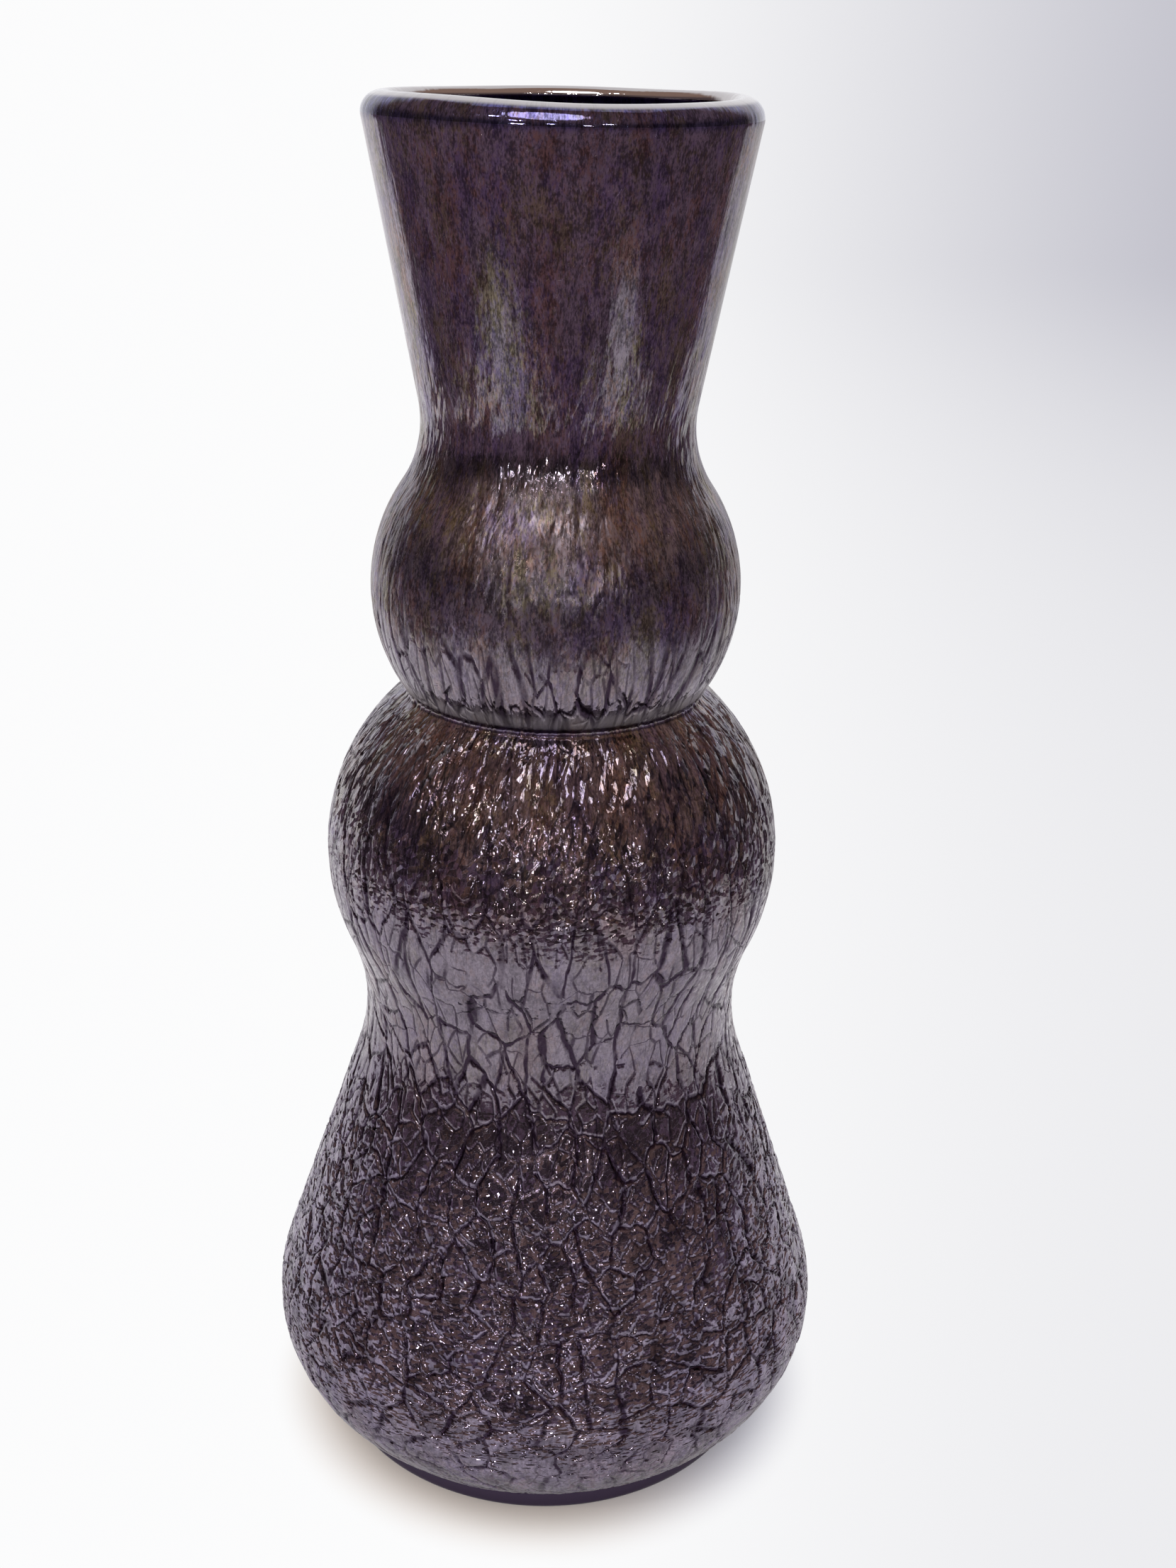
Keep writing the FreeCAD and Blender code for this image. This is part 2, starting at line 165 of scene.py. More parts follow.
class Wire:
    """A value on its way through a node tree. A sum written with it adds the nodes that work it out."""

    def __init__(self, nodes, socket):
        self.nodes, self.socket = nodes, socket

    def __add__(self, other):
        return self.nodes.work("ADD", self, other)

    def __sub__(self, other):
        return self.nodes.work("SUBTRACT", self, other)

    def __mul__(self, other):
        return self.nodes.work("MULTIPLY", self, other)

    def __truediv__(self, other):
        return self.nodes.work("DIVIDE", self, other)

    def __rtruediv__(self, other):
        return self.nodes.work("DIVIDE", other, self)

    def __abs__(self):
        return self.nodes.work("ABSOLUTE", self)

    def times_plus(self, factor, more):
        return self.nodes.work("MULTIPLY_ADD", self, factor, more)


def is_vector(value):
    if isinstance(value, Wire):
        return value.socket.type in ("VECTOR", "RGBA")
    return isinstance(value, tuple)


class Nodes:
    """Adds nodes to a tree. A wire or a plain value may stand for any input."""

    def __init__(self, tree):
        self.tree = tree

    def add(self, kind, inputs=None, **settings):
        node = self.tree.nodes.new(kind)
        for name, value in settings.items():
            setattr(node, name, value)
        for key, value in (inputs or {}).items():
            self.feed(node.inputs[key], value)
        return node

    def feed(self, socket, value):
        if isinstance(value, Wire):
            self.tree.links.new(value.socket, socket)
        else:
            socket.default_value = value

    def result(self, key, kind, inputs=None, **settings):
        """Adds a node and gives one of its outputs."""
        return Wire(self, self.add(kind, inputs, **settings).outputs[key])

    def outputs(self, kind, inputs=None, **settings):
        """Adds a node and gives all of its outputs by name."""
        found = self.add(kind, inputs, **settings).outputs
        return {socket.name: Wire(self, socket) for socket in found}

    def work(self, operation, *values):
        """One step of maths, on vectors where a value is one. A vector is scaled by the number after it."""
        if not any(is_vector(value) for value in values):
            return self.result(0, "ShaderNodeMath", dict(enumerate(values)), operation=operation)
        if operation == "MULTIPLY" and not is_vector(values[1]):
            return self.result(0, "ShaderNodeVectorMath", {0: values[0], "Scale": values[1]},
                               operation="SCALE")
        return self.result(0, "ShaderNodeVectorMath", dict(enumerate(values)), operation=operation)

    def most(self, first, second):
        return self.work("MAXIMUM", first, second)

    def dot(self, first, second):
        return self.result(1, "ShaderNodeVectorMath", {0: first, 1: second}, operation="DOT_PRODUCT")

    def size_of(self, vector):
        return self.result(1, "ShaderNodeVectorMath", {0: vector}, operation="LENGTH")

    def combine(self, x, y, z):
        return self.result(0, "ShaderNodeCombineXYZ", {0: x, 1: y, 2: z})

    def split(self, vector):
        return list(self.outputs("ShaderNodeSeparateXYZ", {0: vector}).values())

    def ramp(self, value, low, high, start=0.0, end=1.0):
        """A smooth step from start, at low, to end, at high."""
        return self.result(0, "ShaderNodeMapRange", {"Value": value, "From Min": low, "From Max": high,
                                                     "To Min": start, "To Max": end},
                           interpolation_type="SMOOTHSTEP")

    def fade(self, value, low, high):
        return self.ramp(value, low, high, 1.0, 0.0)

    def noise(self, vector, size, detail=2.0, rough=0.5, key=0):
        """Noise with lumps of a size. Key 0 gives one number and key 1 three."""
        return self.result(key, "ShaderNodeTexNoise",
                           {"Vector": vector, "Scale": 1 / size, "Detail": detail, "Roughness": rough})

    def cells(self, vector, size, dimensions="3D", feature="F1"):
        """The random colour and the centre of the nearest cell, or with F2 of the next nearest."""
        found = self.outputs("ShaderNodeTexVoronoi", {"Vector": vector, "Scale": 1 / size},
                             voronoi_dimensions=dimensions, feature=feature)
        return found["Color"], found["Position"]

    def blend(self, factor, first, second):
        return self.result(2, "ShaderNodeMix", {0: factor, 6: first, 7: second}, data_type="RGBA")


FLOAT, VECTOR, GEOMETRY = "NodeSocketFloat", "NodeSocketVector", "NodeSocketGeometry"


def open_group(kind, name, inputs, outputs):
    """A node group with named sockets: its builder, its inputs by name and its output node's sockets."""
    tree = bpy.data.node_groups.new(name, kind)
    for way, sockets in (("INPUT", inputs), ("OUTPUT", outputs)):
        for label, socket_kind in sockets.items():
            tree.interface.new_socket(label, in_out=way, socket_type=socket_kind)
    nodes = Nodes(tree)
    return nodes, nodes.outputs("NodeGroupInput"), nodes.add("NodeGroupOutput").inputs


# Each network of cracks: the setting for its cell and a factor on it, the share of cracks left out,
# the least and most half width of a crack and that of its shoulder in millimetres, how kinked it is,
# and the setting for its depth and a factor on it.
NETWORKS = (
    ("main_cell", 1.0, 0.10, 0.42, 1.15, 0.90, 1.0, "main_depth", 1.0),
    ("fine_cell", 1.0, 0.20, 0.24, 0.60, 0.55, 0.35, "fine_depth", 1.0),
    ("fine_cell", 0.55, 0.40, 0.15, 0.30, 0.30, 0.20, "fine_depth", 0.45),
)
# Two patterns share the way round. The second lies this many millimetres along from the first, which
# fades out between two angles from the front, in radians, while the second fades in between two others.
SECOND_PATTERN = 700.0
FIRST_OUT, SECOND_IN = (2.86, 3.02), (2.72, 2.90)
PATTERN_STEP = 100.0  # millimetres by which the seed moves the patterns
HALF = (0.5, 0.5, 0.5)  # the middle of noise and of a cell's random colour
CELL_LEAN = 0.10    # slant of a whole cell
FACET = 1.0         # width in millimetres of the tiny facets that glint
FACET_LEAN = 0.008  # radians that their slant turns per millimetre down the glass
TURNED_FROM = 0.60  # facets of the dense crackle whose dice is above this are turned up to the lamps
FINE_HEIGHT = 0.06  # millimetres of the finest relief, that only the shading carries
WAVE = 1.6          # upright waves under it, as a multiple of its height


def crack_layer(nodes, place, draw, cell, gaps, thin, thick, soft):
    """One network of cracks between cells: groove, its core, its soft shoulders and the slant of the cells.

    The distance to a crack is taken in millimetres on the glass, and each crack has its own
    chance of being there and its own width. Upright cracks were pulled open, level ones weren't.
    """
    colour, centre = nodes.cells(place, cell, "2D", "F1")
    next_colour, next_centre = nodes.cells(place, cell, "2D", "F2")
    way = next_centre - centre
    stretched = way * draw
    size = nodes.size_of(stretched)
    apart = nodes.dot((next_centre + centre) * 0.5 - place, way) / size
    upright = abs(nodes.split(stretched)[0]) / size
    dice = nodes.split(nodes.work("FRACTION", colour + next_colour))
    there = nodes.ramp(dice[0], gaps, gaps + 0.03)
    share = apart / (dice[1].times_plus(thick - thin, thin) * upright.times_plus(0.45, 0.6))
    slant = nodes.dot((place - centre) * (1.0, 1.0, 0.0), colour - HALF)
    return (nodes.fade(share, 0.0, 1.0) * there, nodes.fade(share, 0.30, 1.0) * there,
            nodes.fade(apart, 0.0, soft) * there, slant * nodes.ramp(apart, 0.0, 0.22 * cell))


def crackle_group(kind):
    """The crackle as a height and masks, from the skin coordinate.

    Skin is a point on a cylinder as wide as the gather was when it was chilled, with the
    distance down the glass as its height. Draw holds how much the glass has grown in width
    since then, how far it was drawn out, and the drawn-out distance down the glass. Zones
    holds the strength of streaks, of the open network and of the dense crackle.
    The same group shapes the mesh and colours it, so the painted shade of the cracks lies in their
    grooves. Inside it lengths are in millimetres.
    """
    finish = bpy.context.scene.vase_crackle
    nodes, given, out = open_group(
        kind, "crackle " + ("shape" if kind == "GeometryNodeTree" else "shade"),
        dict.fromkeys(("Skin", "Draw", "Zones"), VECTOR),
        dict.fromkeys(("Relief", "Crack", "Hair", "Fine", "Fleck", "Cloud"), FLOAT))
    skin = given["Skin"] * (1 / MM)
    x, y, z = nodes.split(skin)
    growth, pull, drawn = nodes.split(given["Draw"])
    streaks, network, dense = nodes.split(given["Zones"])
    drawn = drawn * (-1 / MM)
    crazed = nodes.combine(x, y, drawn + PATTERN_STEP * finish.seed)
    draw = nodes.combine(1.0 / growth, pull, 0.0)
    bend = (nodes.noise(crazed, 15.0, key=1) - HALF) * 7.0
    kink = (nodes.noise(crazed, 2.6, key=1) - HALF) * 1.5

    # The plain angle jumps at the back, so a second pattern with its jump in front takes over there.
    front = nodes.work("ARCTAN2", x, y * -1.0)
    back = nodes.work("ARCTAN2", x * -1.0, y)
    behind = abs(front)
    parts = []
    for angle, shift, share in ((front, 0.0, nodes.fade(behind, *FIRST_OUT)),
                                (back, SECOND_PATTERN, nodes.ramp(behind, *SECOND_IN))):
        flat = nodes.combine(angle.times_plus(finish.core_radius / MM, shift), drawn, 0.0)
        parts.append((flat + bend, share))
    layers = []
    for cell, factor, gaps, thin, thick, soft, kinks, _, _ in NETWORKS:
        shift = kink * kinks + (PATTERN_STEP + 37.0 * kinks, PATTERN_STEP * finish.seed, 0.0)
        both = []
        for flat, share in parts:
            found = crack_layer(nodes, flat + shift, draw, getattr(finish, cell) * factor / MM, gaps, thin,
                                thick, soft)
            both.append([value * share for value in found])
        layers.append([nodes.most(*pair) for pair in list(zip(*both))[:3]] + [both[0][3] + both[1][3]])

    # The main network is in patches, the finer one in others, and the finest there where it is dense.
    patch = nodes.ramp(nodes.noise(crazed, 8.0), 0.28, 0.44, 0.35, 1.0)
    loose = nodes.ramp(nodes.noise(crazed + (31.0, 17.0, 5.0), 6.0), 0.32, 0.48)
    heavy = nodes.ramp(nodes.noise(crazed, 1.7, 1.0), 0.30, 0.60, 0.70, 1.25)
    strengths = (patch * network * heavy, loose * nodes.most(dense, network * 0.9), dense * loose)

    upright = (skin + bend) * (1.0, 1.0, 0.13)
    streak = nodes.noise(upright, 0.8, 3.0, 0.6) - 0.5
    thread = abs(nodes.noise(upright, 1.5, 1.0) - 0.5)
    threaded = nodes.ramp(nodes.noise(skin * (1.0, 1.0, 0.4), 2.4, 1.0), 0.40, 0.56)
    hair = nodes.fade(thread, 0.004, 0.040) * threaded * streaks

    cloud = nodes.noise(crazed, 4.5, 3.0, 0.6)
    nodes.feed(out["Cloud"],
               nodes.ramp(cloud, 0.34, 0.60, -0.38, 0.25).times_plus(nodes.most(dense, 0.3), 1.0))
    lively = dense + network * 0.14
    swell, streak_depth = finish.swell / MM, finish.streak_depth / MM
    relief = ((cloud - 0.5) * swell + (nodes.noise(crazed, 1.9) - 0.5) * (swell * 0.4)) * lively
    soften = nodes.ramp(dense, 0.0, 0.8, 0.35, 1.0)
    for (groove, _, shoulder, _), here, network_line in zip(layers, strengths, NETWORKS):
        half_depth = getattr(finish, network_line[-2]) * network_line[-1] / MM * 0.5
        relief = relief - (groove * half_depth + shoulder * half_depth * soften) * here
    for layer in layers[:2]:
        relief = relief + layer[3] * CELL_LEAN * lively
    rib = streak * streaks * (streak_depth * 2.2)
    nodes.feed(out["Relief"], (relief - hair * streak_depth + rib) * MM)

    # Facets: each has a slight tilt of its own, and some of the dense crackle's are turned up.
    leaning = nodes.result(0, "ShaderNodeVectorRotate", {"Vector": skin, "Angle": z * -FACET_LEAN},
                           rotation_type="Z_AXIS")
    pull = nodes.most(pull, 0.1)
    leaning = leaning * nodes.combine(1.0, 1.0, pull)
    colour, centre = nodes.cells(leaning, FACET)
    dice = nodes.split(colour)
    offset = leaning - centre
    broken = nodes.most(dense * 0.12, streaks * streaks * 0.72)
    facet = nodes.dot(offset, colour - HALF) * nodes.most(broken, network * 0.14)
    turned = nodes.work("GREATER_THAN", dice[2], TURNED_FROM) * dense
    side = dice[0].times_plus(0.8, -0.4)
    steep = dice[1].times_plus(-0.22, -0.12) / pull
    facet = nodes.dot(offset, nodes.combine(side, side, steep)).times_plus(turned, facet)

    # Crack cores and hair lines are painted dark: painted shade in their grooves.
    cores = [layer[1] * here for layer, here in zip(layers, strengths)]
    crack = nodes.most(cores[0], cores[1] * nodes.ramp(dense, 0.2, 0.9, 0.9, 0.58))
    nodes.feed(out["Crack"], nodes.work("MINIMUM", nodes.most(crack, cores[2] * 0.4), 1.0))
    nodes.feed(out["Hair"], hair)
    short = skin * (1.0, 1.0, 0.5)
    grain = nodes.noise(short, 0.42, 2.0, 0.6)
    fine = grain.times_plus(0.5, streak) * (streaks + 0.05) + nodes.noise(upright, 2.8, 1.0) * WAVE
    nodes.feed(out["Fine"], fine.times_plus(FINE_HEIGHT, facet))
    nodes.feed(out["Fleck"], grain * 0.6 + nodes.noise(short, 2.2) * 0.4)
    return nodes.tree


# Where the drifting noise starts to turn the lustre to a colour, and where it has.
DRIFTS = {"Copper": (0.47, 0.61), "Gold": (0.49, 0.62), "Violet": (0.48, 0.62)}


def tone_group():
    """Where the lustre turns copper, gold or violet: three masks that drift over the skin."""
    nodes, given, out = open_group("ShaderNodeTree", "lustre drift", {"Skin": VECTOR},
                                   dict.fromkeys(DRIFTS, FLOAT))
    upright = given["Skin"] * (1 / MM) * (1.0, 1.0, 0.55)
    mixed = (nodes.noise(upright, 8.0, key=1) + nodes.noise(upright, 1.0, 3.0, 0.7, key=1)) * 0.5
    for drift, (label, span) in zip(nodes.split(mixed), DRIFTS.items()):
        nodes.feed(out[label], nodes.ramp(drift, *span))
    return nodes.tree


def toward(start, end, distance):
    """The point at a distance from start, on the way to end."""
    start, end = Vector(start), Vector(end)
    return start + (end - start).normalized() * distance


def polar(centre, radius, angle):
    return Vector((centre[0] + radius * math.cos(angle), centre[1] + radius * math.sin(angle)))


def line_points(start, end, step):
    count = max(1, round((Vector(end) - Vector(start)).length / step))
    return [Vector(start).lerp(Vector(end), i / count) for i in range(count)]


def arc_points(centre, start, end, step):
    """Points from start up to, but not including, end, the shorter way round the centre."""
    centre, start, end = Vector(centre), Vector(start), Vector(end)
    radius = (start - centre).length
    first = math.atan2(start.y - centre.y, start.x - centre.x)
    turn = math.atan2(end.y - centre.y, end.x - centre.x) - first
    turn = (turn + math.pi) % FULL_TURN - math.pi
    count = max(2, round(abs(turn) * radius / step))
    return [polar(centre, radius, first + turn * i / count) for i in range(count)]


def trace(step, start, *legs):
    """Points from start along lines and arcs, short of the last end.

    A leg is the centre of its arc, or None for a line, its end, and its own step if it has one.
    """
    points = []
    for centre, end, *own in legs:
        run = (start, end, own[0] if own else step)
        points += line_points(*run) if centre is None else arc_points(centre, *run)
        start = end
    return points


def centre_from(point, reach, radius, way):
    """The place at a radius that is a reach away from a point, above it where way is 1 and below where -1."""
    return Vector((radius, point[1] + way * math.sqrt(reach ** 2 - (radius - point[0]) ** 2)))


def shared_centres(size):
    """Centres of the arcs that every layer of the wall shares, as radius and height."""
    upper = Vector((size.upper_radius - size.upper_curve, size.upper_height))
    middle = Vector((size.middle_radius - size.middle_curve, size.middle_height))
    belly = centre_from((size.foot_radius, size.foot_height), size.belly_curve,
                        size.belly_radius - size.belly_curve, 1)
    neck = centre_from(upper, size.upper_curve + size.neck_curve, size.neck_radius + size.neck_curve, 1)
    waist = centre_from(middle, size.middle_curve + size.waist_curve,
                        size.waist_radius + size.waist_curve, -1)
    reach_a, reach_b = size.upper_curve + size.crease_round, size.middle_curve + size.crease_round
    span = (middle - upper).length
    along = (reach_a ** 2 - reach_b ** 2 + span ** 2) / (2 * span)
    aside = math.sqrt(reach_a ** 2 - along ** 2)
    way = (middle - upper).normalized()
    crease = upper + way * along + Vector((-way.y, way.x)) * aside
    return {"upper": upper, "middle": middle, "belly": belly, "neck": neck, "waist": waist, "crease": crease}


def collar_lean(size):
    """How far the collar's wall leans outwards from upright."""
    at = shared_centres(size)
    lip = Vector((size.rim_radius - size.lip_outer_round, size.height - size.lip_outer_round))
    way = at["neck"] - lip
    return math.asin((size.lip_outer_round + size.neck_curve) / way.length) - math.atan2(way.x, -way.y)


def wall_points(size, depth, step, last_point=None):
    """One layer's outline, as radius and height, from the lip joint down to the foot."""
    at = shared_centres(size)
    lean = collar_lean(size)
    outward = Vector((math.cos(lean), -math.sin(lean)))
    way = at["waist"] - at["belly"]
    flank = math.atan2(way.y, way.x) - math.acos((size.waist_curve + size.belly_curve) / way.length)
    side = Vector((math.cos(flank), math.sin(flank)))
    foot = last_point or toward(at["belly"], (size.foot_radius, size.foot_height), size.belly_curve - depth)
    collar_foot = at["neck"] - outward * (size.neck_curve + depth)
    climb = size.joint_height - collar_foot.y
    collar_top = Vector((collar_foot.x + climb * math.tan(lean), size.joint_height))
    neck_end = toward(at["upper"], at["neck"], size.upper_curve - depth)
    upper_end = toward(at["upper"], at["crease"], size.upper_curve - depth)
    crease_end = toward(at["middle"], at["crease"], size.middle_curve - depth)
    middle_end = toward(at["middle"], at["waist"], size.middle_curve - depth)
    flank_top = at["waist"] - side * (size.waist_curve + depth)
    flank_foot = at["belly"] + side * (size.belly_curve - depth)
    return trace(step, collar_top, (None, collar_foot), (at["neck"], neck_end), (at["upper"], upper_end),
                 (at["crease"], crease_end, min(step, size.crease_round / 4)), (at["middle"], middle_end),
                 (at["waist"], flank_top), (None, flank_foot), (at["belly"], foot)) + [foot]


ON_AXIS = 1e-7  # a point nearer than this, in metres, lies on the axis


def turned_mesh(name, outline, columns, closed):
    """A solid of revolution. The outline runs counter-clockwise, as radius and height.

    A closed outline is a ring; an open one starts and ends on the axis.
    """
    angles = [FULL_TURN * i / columns for i in range(columns)]
    points, rings = [], []
    for place in outline:
        if place.x < ON_AXIS:
            rings.append([len(points)] * columns)
            points.append((0.0, 0.0, place.y))
        else:
            rings.append(list(range(len(points), len(points) + columns)))
            points.extend((place.x * math.cos(a), place.x * math.sin(a), place.y) for a in angles)
    faces = []
    for i in range(len(rings) if closed else len(rings) - 1):
        here, after = rings[i], rings[(i + 1) % len(rings)]
        for k in range(columns):
            j = (k + 1) % columns
            faces.append(tuple(dict.fromkeys((here[k], here[j], after[j], after[k]))))
    mesh = bpy.data.meshes.new(name)
    mesh.from_pydata(points, [], faces)
    mesh.update()
    return mesh


def add_object(name, data):
    item = bpy.data.objects.new(name, data)
    bpy.context.scene.collection.objects.link(item)
    return item


def add_piece(name, mesh, material, node):
    """Adds a finished mesh, smooth and with its material, in the place of a node of the frame."""
    piece = add_object(name, mesh)
    mesh.materials.append(material)
    mesh.shade_smooth()
    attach(piece, "root")
    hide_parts(node)


# From the lip down: height above the table and height of a row of faces, both in millimetres, how far
# the cells were drawn out, then the strengths of streaks, of the open network and of the dense crackle.
ZONES = (
    # height, row, pull, streaks, network, dense
    (293.0, 0.80, 0.30, 0.12, 0.00, 0.00),
    (262.0, 0.70, 0.30, 0.20, 0.00, 0.00),
    (250.0, 0.65, 0.30, 0.38, 0.00, 0.00),
    (238.0, 0.60, 0.30, 0.60, 0.05, 0.00),
    (222.0, 0.50, 0.30, 0.45, 0.20, 0.02),
    (203.0, 0.45, 0.30, 0.50, 0.35, 0.05),
    (196.0, 0.42, 0.30, 0.50, 0.80, 0.00),
    (186.0, 0.38, 0.36, 0.30, 0.95, 0.00),
    (182.5, 0.34, 0.36, 0.20, 0.60, 0.00),
    (180.3, 0.34, 0.36, 0.15, 0.45, 0.00),
    (178.5, 0.36, 0.34, 0.50, 0.45, 0.05),
    (176.0, 0.42, 0.30, 1.00, 0.55, 0.20),
    (160.0, 0.42, 0.30, 1.00, 0.55, 0.22),
    (148.0, 0.42, 0.34, 0.90, 0.70, 0.20),
    (138.0, 0.42, 0.42, 0.55, 1.00, 0.10),
    (122.0, 0.42, 0.50, 0.40, 1.00, 0.08),
    (106.0, 0.42, 0.55, 0.40, 1.00, 0.08),
    (96.0, 0.42, 0.60, 0.40, 1.00, 0.25),
    (80.0, 0.42, 0.62, 0.35, 1.00, 0.80),
    (64.0, 0.42, 0.66, 0.30, 0.90, 1.00),
    (36.0, 0.42, 0.75, 0.30, 0.90, 0.90),
    (18.0, 0.45, 0.90, 0.25, 0.80, 0.65),
    (9.0, 0.50, 0.90, 0.20, 0.50, 0.35),
    (5.0, 0.50, 0.90, 0.10, 0.10, 0.10),
)


def zone_values(heights):
    """What ZONES says at given heights, in metres: one array for each column after the height."""
    table = np.array(ZONES)[::-1]
    return [np.interp(np.asarray(heights) / MM, table[:, 0], column) for column in table[:, 1:].T]


SKIN_STEP, INNER_STEP = 0.1 * MM, 0.4 * MM  # between points of the casing's outer and inner lines
INNER_ROWS = 8


def running(steps):
    """The sum of the steps up to each point, from 0."""
    return np.concatenate([[0.0], np.cumsum(steps)])


def store(mesh, name, values):
    """Keeps three numbers for each point of a mesh."""
    attribute = mesh.attributes.new(name, "FLOAT_VECTOR", "POINT")
    attribute.data.foreach_set("vector", np.asarray(values, dtype=np.float32).reshape(-1))


def skin_outline(size, coarse):
    """The casing's outer line, with a point for every row of the skin and what the skin needs there."""
    line = np.array([tuple(p) for p in wall_points(size, 0.0, SKIN_STEP)])
    steps = np.linalg.norm(np.diff(line, axis=0), axis=1)
    travelled = running(steps)
    row_size = zone_values(line[:, 1])[0] * MM * coarse
    counted = running(steps * 2 / (row_size[1:] + row_size[:-1]))
    rows = int(round(counted[-1]))
    stations = np.interp(np.linspace(0.0, counted[-1], rows + 1), counted, travelled)
    radius = np.interp(stations, travelled, line[:, 0])
    height = np.interp(stations, travelled, line[:, 1])
    way_r, way_z = np.gradient(radius, stations), np.gradient(height, stations)
    scale = np.hypot(way_r, way_z)
    pull, streaks, network, dense = zone_values(height)[1:]
    drawn = running(np.diff(stations) * (pull[1:] + pull[:-1]) / 2)
    core = bpy.context.scene.vase_crackle.core_radius
    mesh = bpy.data.meshes.new("skin_outline")
    mesh.from_pydata([(r, 0.0, z) for r, z in zip(radius, height)], [(i, i + 1) for i in range(rows)], [])
    for name, columns in (("outward", (-way_z / scale, 0 * radius, way_r / scale)),
                          ("travelled", (stations, 0 * radius, 0 * radius)),
                          ("draw", (radius / core, pull, drawn)), ("zones", (streaks, network, dense))):
        store(mesh, name, np.stack(columns, axis=1))
    return add_object("skin_outline", mesh), rows, stations / stations[-1]


def casing_tree():
    """Geometry nodes that turn the outline and press the crackle into it."""
    nodes, given, out = open_group(
        "GeometryNodeTree", "crackled skin",
        {"Geometry": GEOMETRY, "Columns": "NodeSocketInt", "Rows": "NodeSocketInt", "Core Radius": FLOAT,
         "Material": "NodeSocketMaterial"},
        {"Geometry": GEOMETRY})
    columns, rows, core = given["Columns"], given["Rows"], given["Core Radius"]
    mesh = nodes.result("Mesh", "GeometryNodeMeshGrid",
                        {"Size X": 1.0, "Size Y": 1.0, "Vertices X": columns, "Vertices Y": rows + 1.0})
    place = nodes.split(nodes.result(0, "GeometryNodeInputPosition"))
    around = nodes.work("ROUND", (place[0] + 0.5) * (columns - 1.0)) / columns * FULL_TURN
    row = nodes.work("ROUND", (place[1] + 0.5) * rows)

    def on_row(value):
        return nodes.result(0, "GeometryNodeSampleIndex",
                            {"Geometry": given["Geometry"], "Index": row, "Value": value},
                            data_type="FLOAT_VECTOR", domain="POINT")

    def named(name):
        return nodes.result(0, "GeometryNodeInputNamedAttribute", {"Name": name}, data_type="FLOAT_VECTOR")

    radius, _, height = nodes.split(on_row(nodes.result(0, "GeometryNodeInputPosition")))
    out_radius, _, out_height = nodes.split(on_row(named("outward")))
    travelled = nodes.split(on_row(named("travelled")))[0]
    cosine, sine = nodes.work("COSINE", around), nodes.work("SINE", around)
    values = {"Skin": nodes.combine(cosine * core, sine * core, travelled * -1.0),
              "Draw": on_row(named("draw")), "Zones": on_row(named("zones"))}
    relief = nodes.result("Relief", "GeometryNodeGroup", values, node_tree=crackle_group("GeometryNodeTree"))
    wide = out_radius.times_plus(relief, radius)
    values["Moved"] = nodes.combine(wide * cosine, wide * sine, out_height.times_plus(relief, height))
    for name, value in values.items():
        mesh = nodes.result(0, "GeometryNodeStoreNamedAttribute",
                            {"Geometry": mesh, "Name": name.lower(), "Value": value},
                            data_type="FLOAT_VECTOR", domain="POINT")
    for kind, inputs in (("GeometryNodeSetPosition", {"Position": named("moved")}),
                         ("GeometryNodeRemoveAttribute", {"Name": "moved"}),
                         ("GeometryNodeRealizeInstances", {}),
                         ("GeometryNodeSetMaterial", {"Material": given["Material"]})):
        mesh = nodes.result(0, kind, {"Geometry": mesh, **inputs})
    nodes.feed(out["Geometry"], mesh)
    return nodes.tree


def set_input(modifier, label, value):
    """Sets a named input of the geometry nodes."""
    for item in modifier.node_group.interface.items_tree:
        if item.item_type == "SOCKET" and item.in_out == "INPUT" and item.name == label:
            modifier[item.identifier] = value
            return
    raise KeyError(label)


def crackled_skin(size, finish, material):
    """Runs the geometry nodes: grids of points, normals and shader coordinates, columns by rows."""
    coarse = 1
    columns = finish.columns // coarse
    maker, rows, shares = skin_outline(size, coarse)
    modifier = maker.modifiers.new("crackled skin", "NODES")
    modifier.node_group = casing_tree()
    for label, value in (("Columns", columns), ("Rows", rows), ("Core Radius", finish.core_radius),
                         ("Material", material)):
        set_input(modifier, label, value)
    mesh = bpy.data.meshes.new_from_object(maker.evaluated_get(bpy.context.evaluated_depsgraph_get()))
    grids = {}
    for name, source, key in [("points", mesh.vertices, "co")] + [
            (label, mesh.attributes[label].data, "vector") for label in SKIN_LABELS]:
        values = np.empty(3 * columns * (rows + 1), dtype=np.float32)
        source.foreach_get(key, values)
        grids[name] = values.reshape(columns, rows + 1, 3).astype(np.float64)
    bpy.data.meshes.remove(mesh)
    bpy.data.objects.remove(maker)
    around = np.roll(grids["points"], -1, axis=0) - np.roll(grids["points"], 1, axis=0)
    down = np.gradient(grids["points"], axis=1)
    normals = np.cross(down, around)
    grids["normals"] = normals / np.linalg.norm(normals, axis=2, keepdims=True)
    return grids, shares


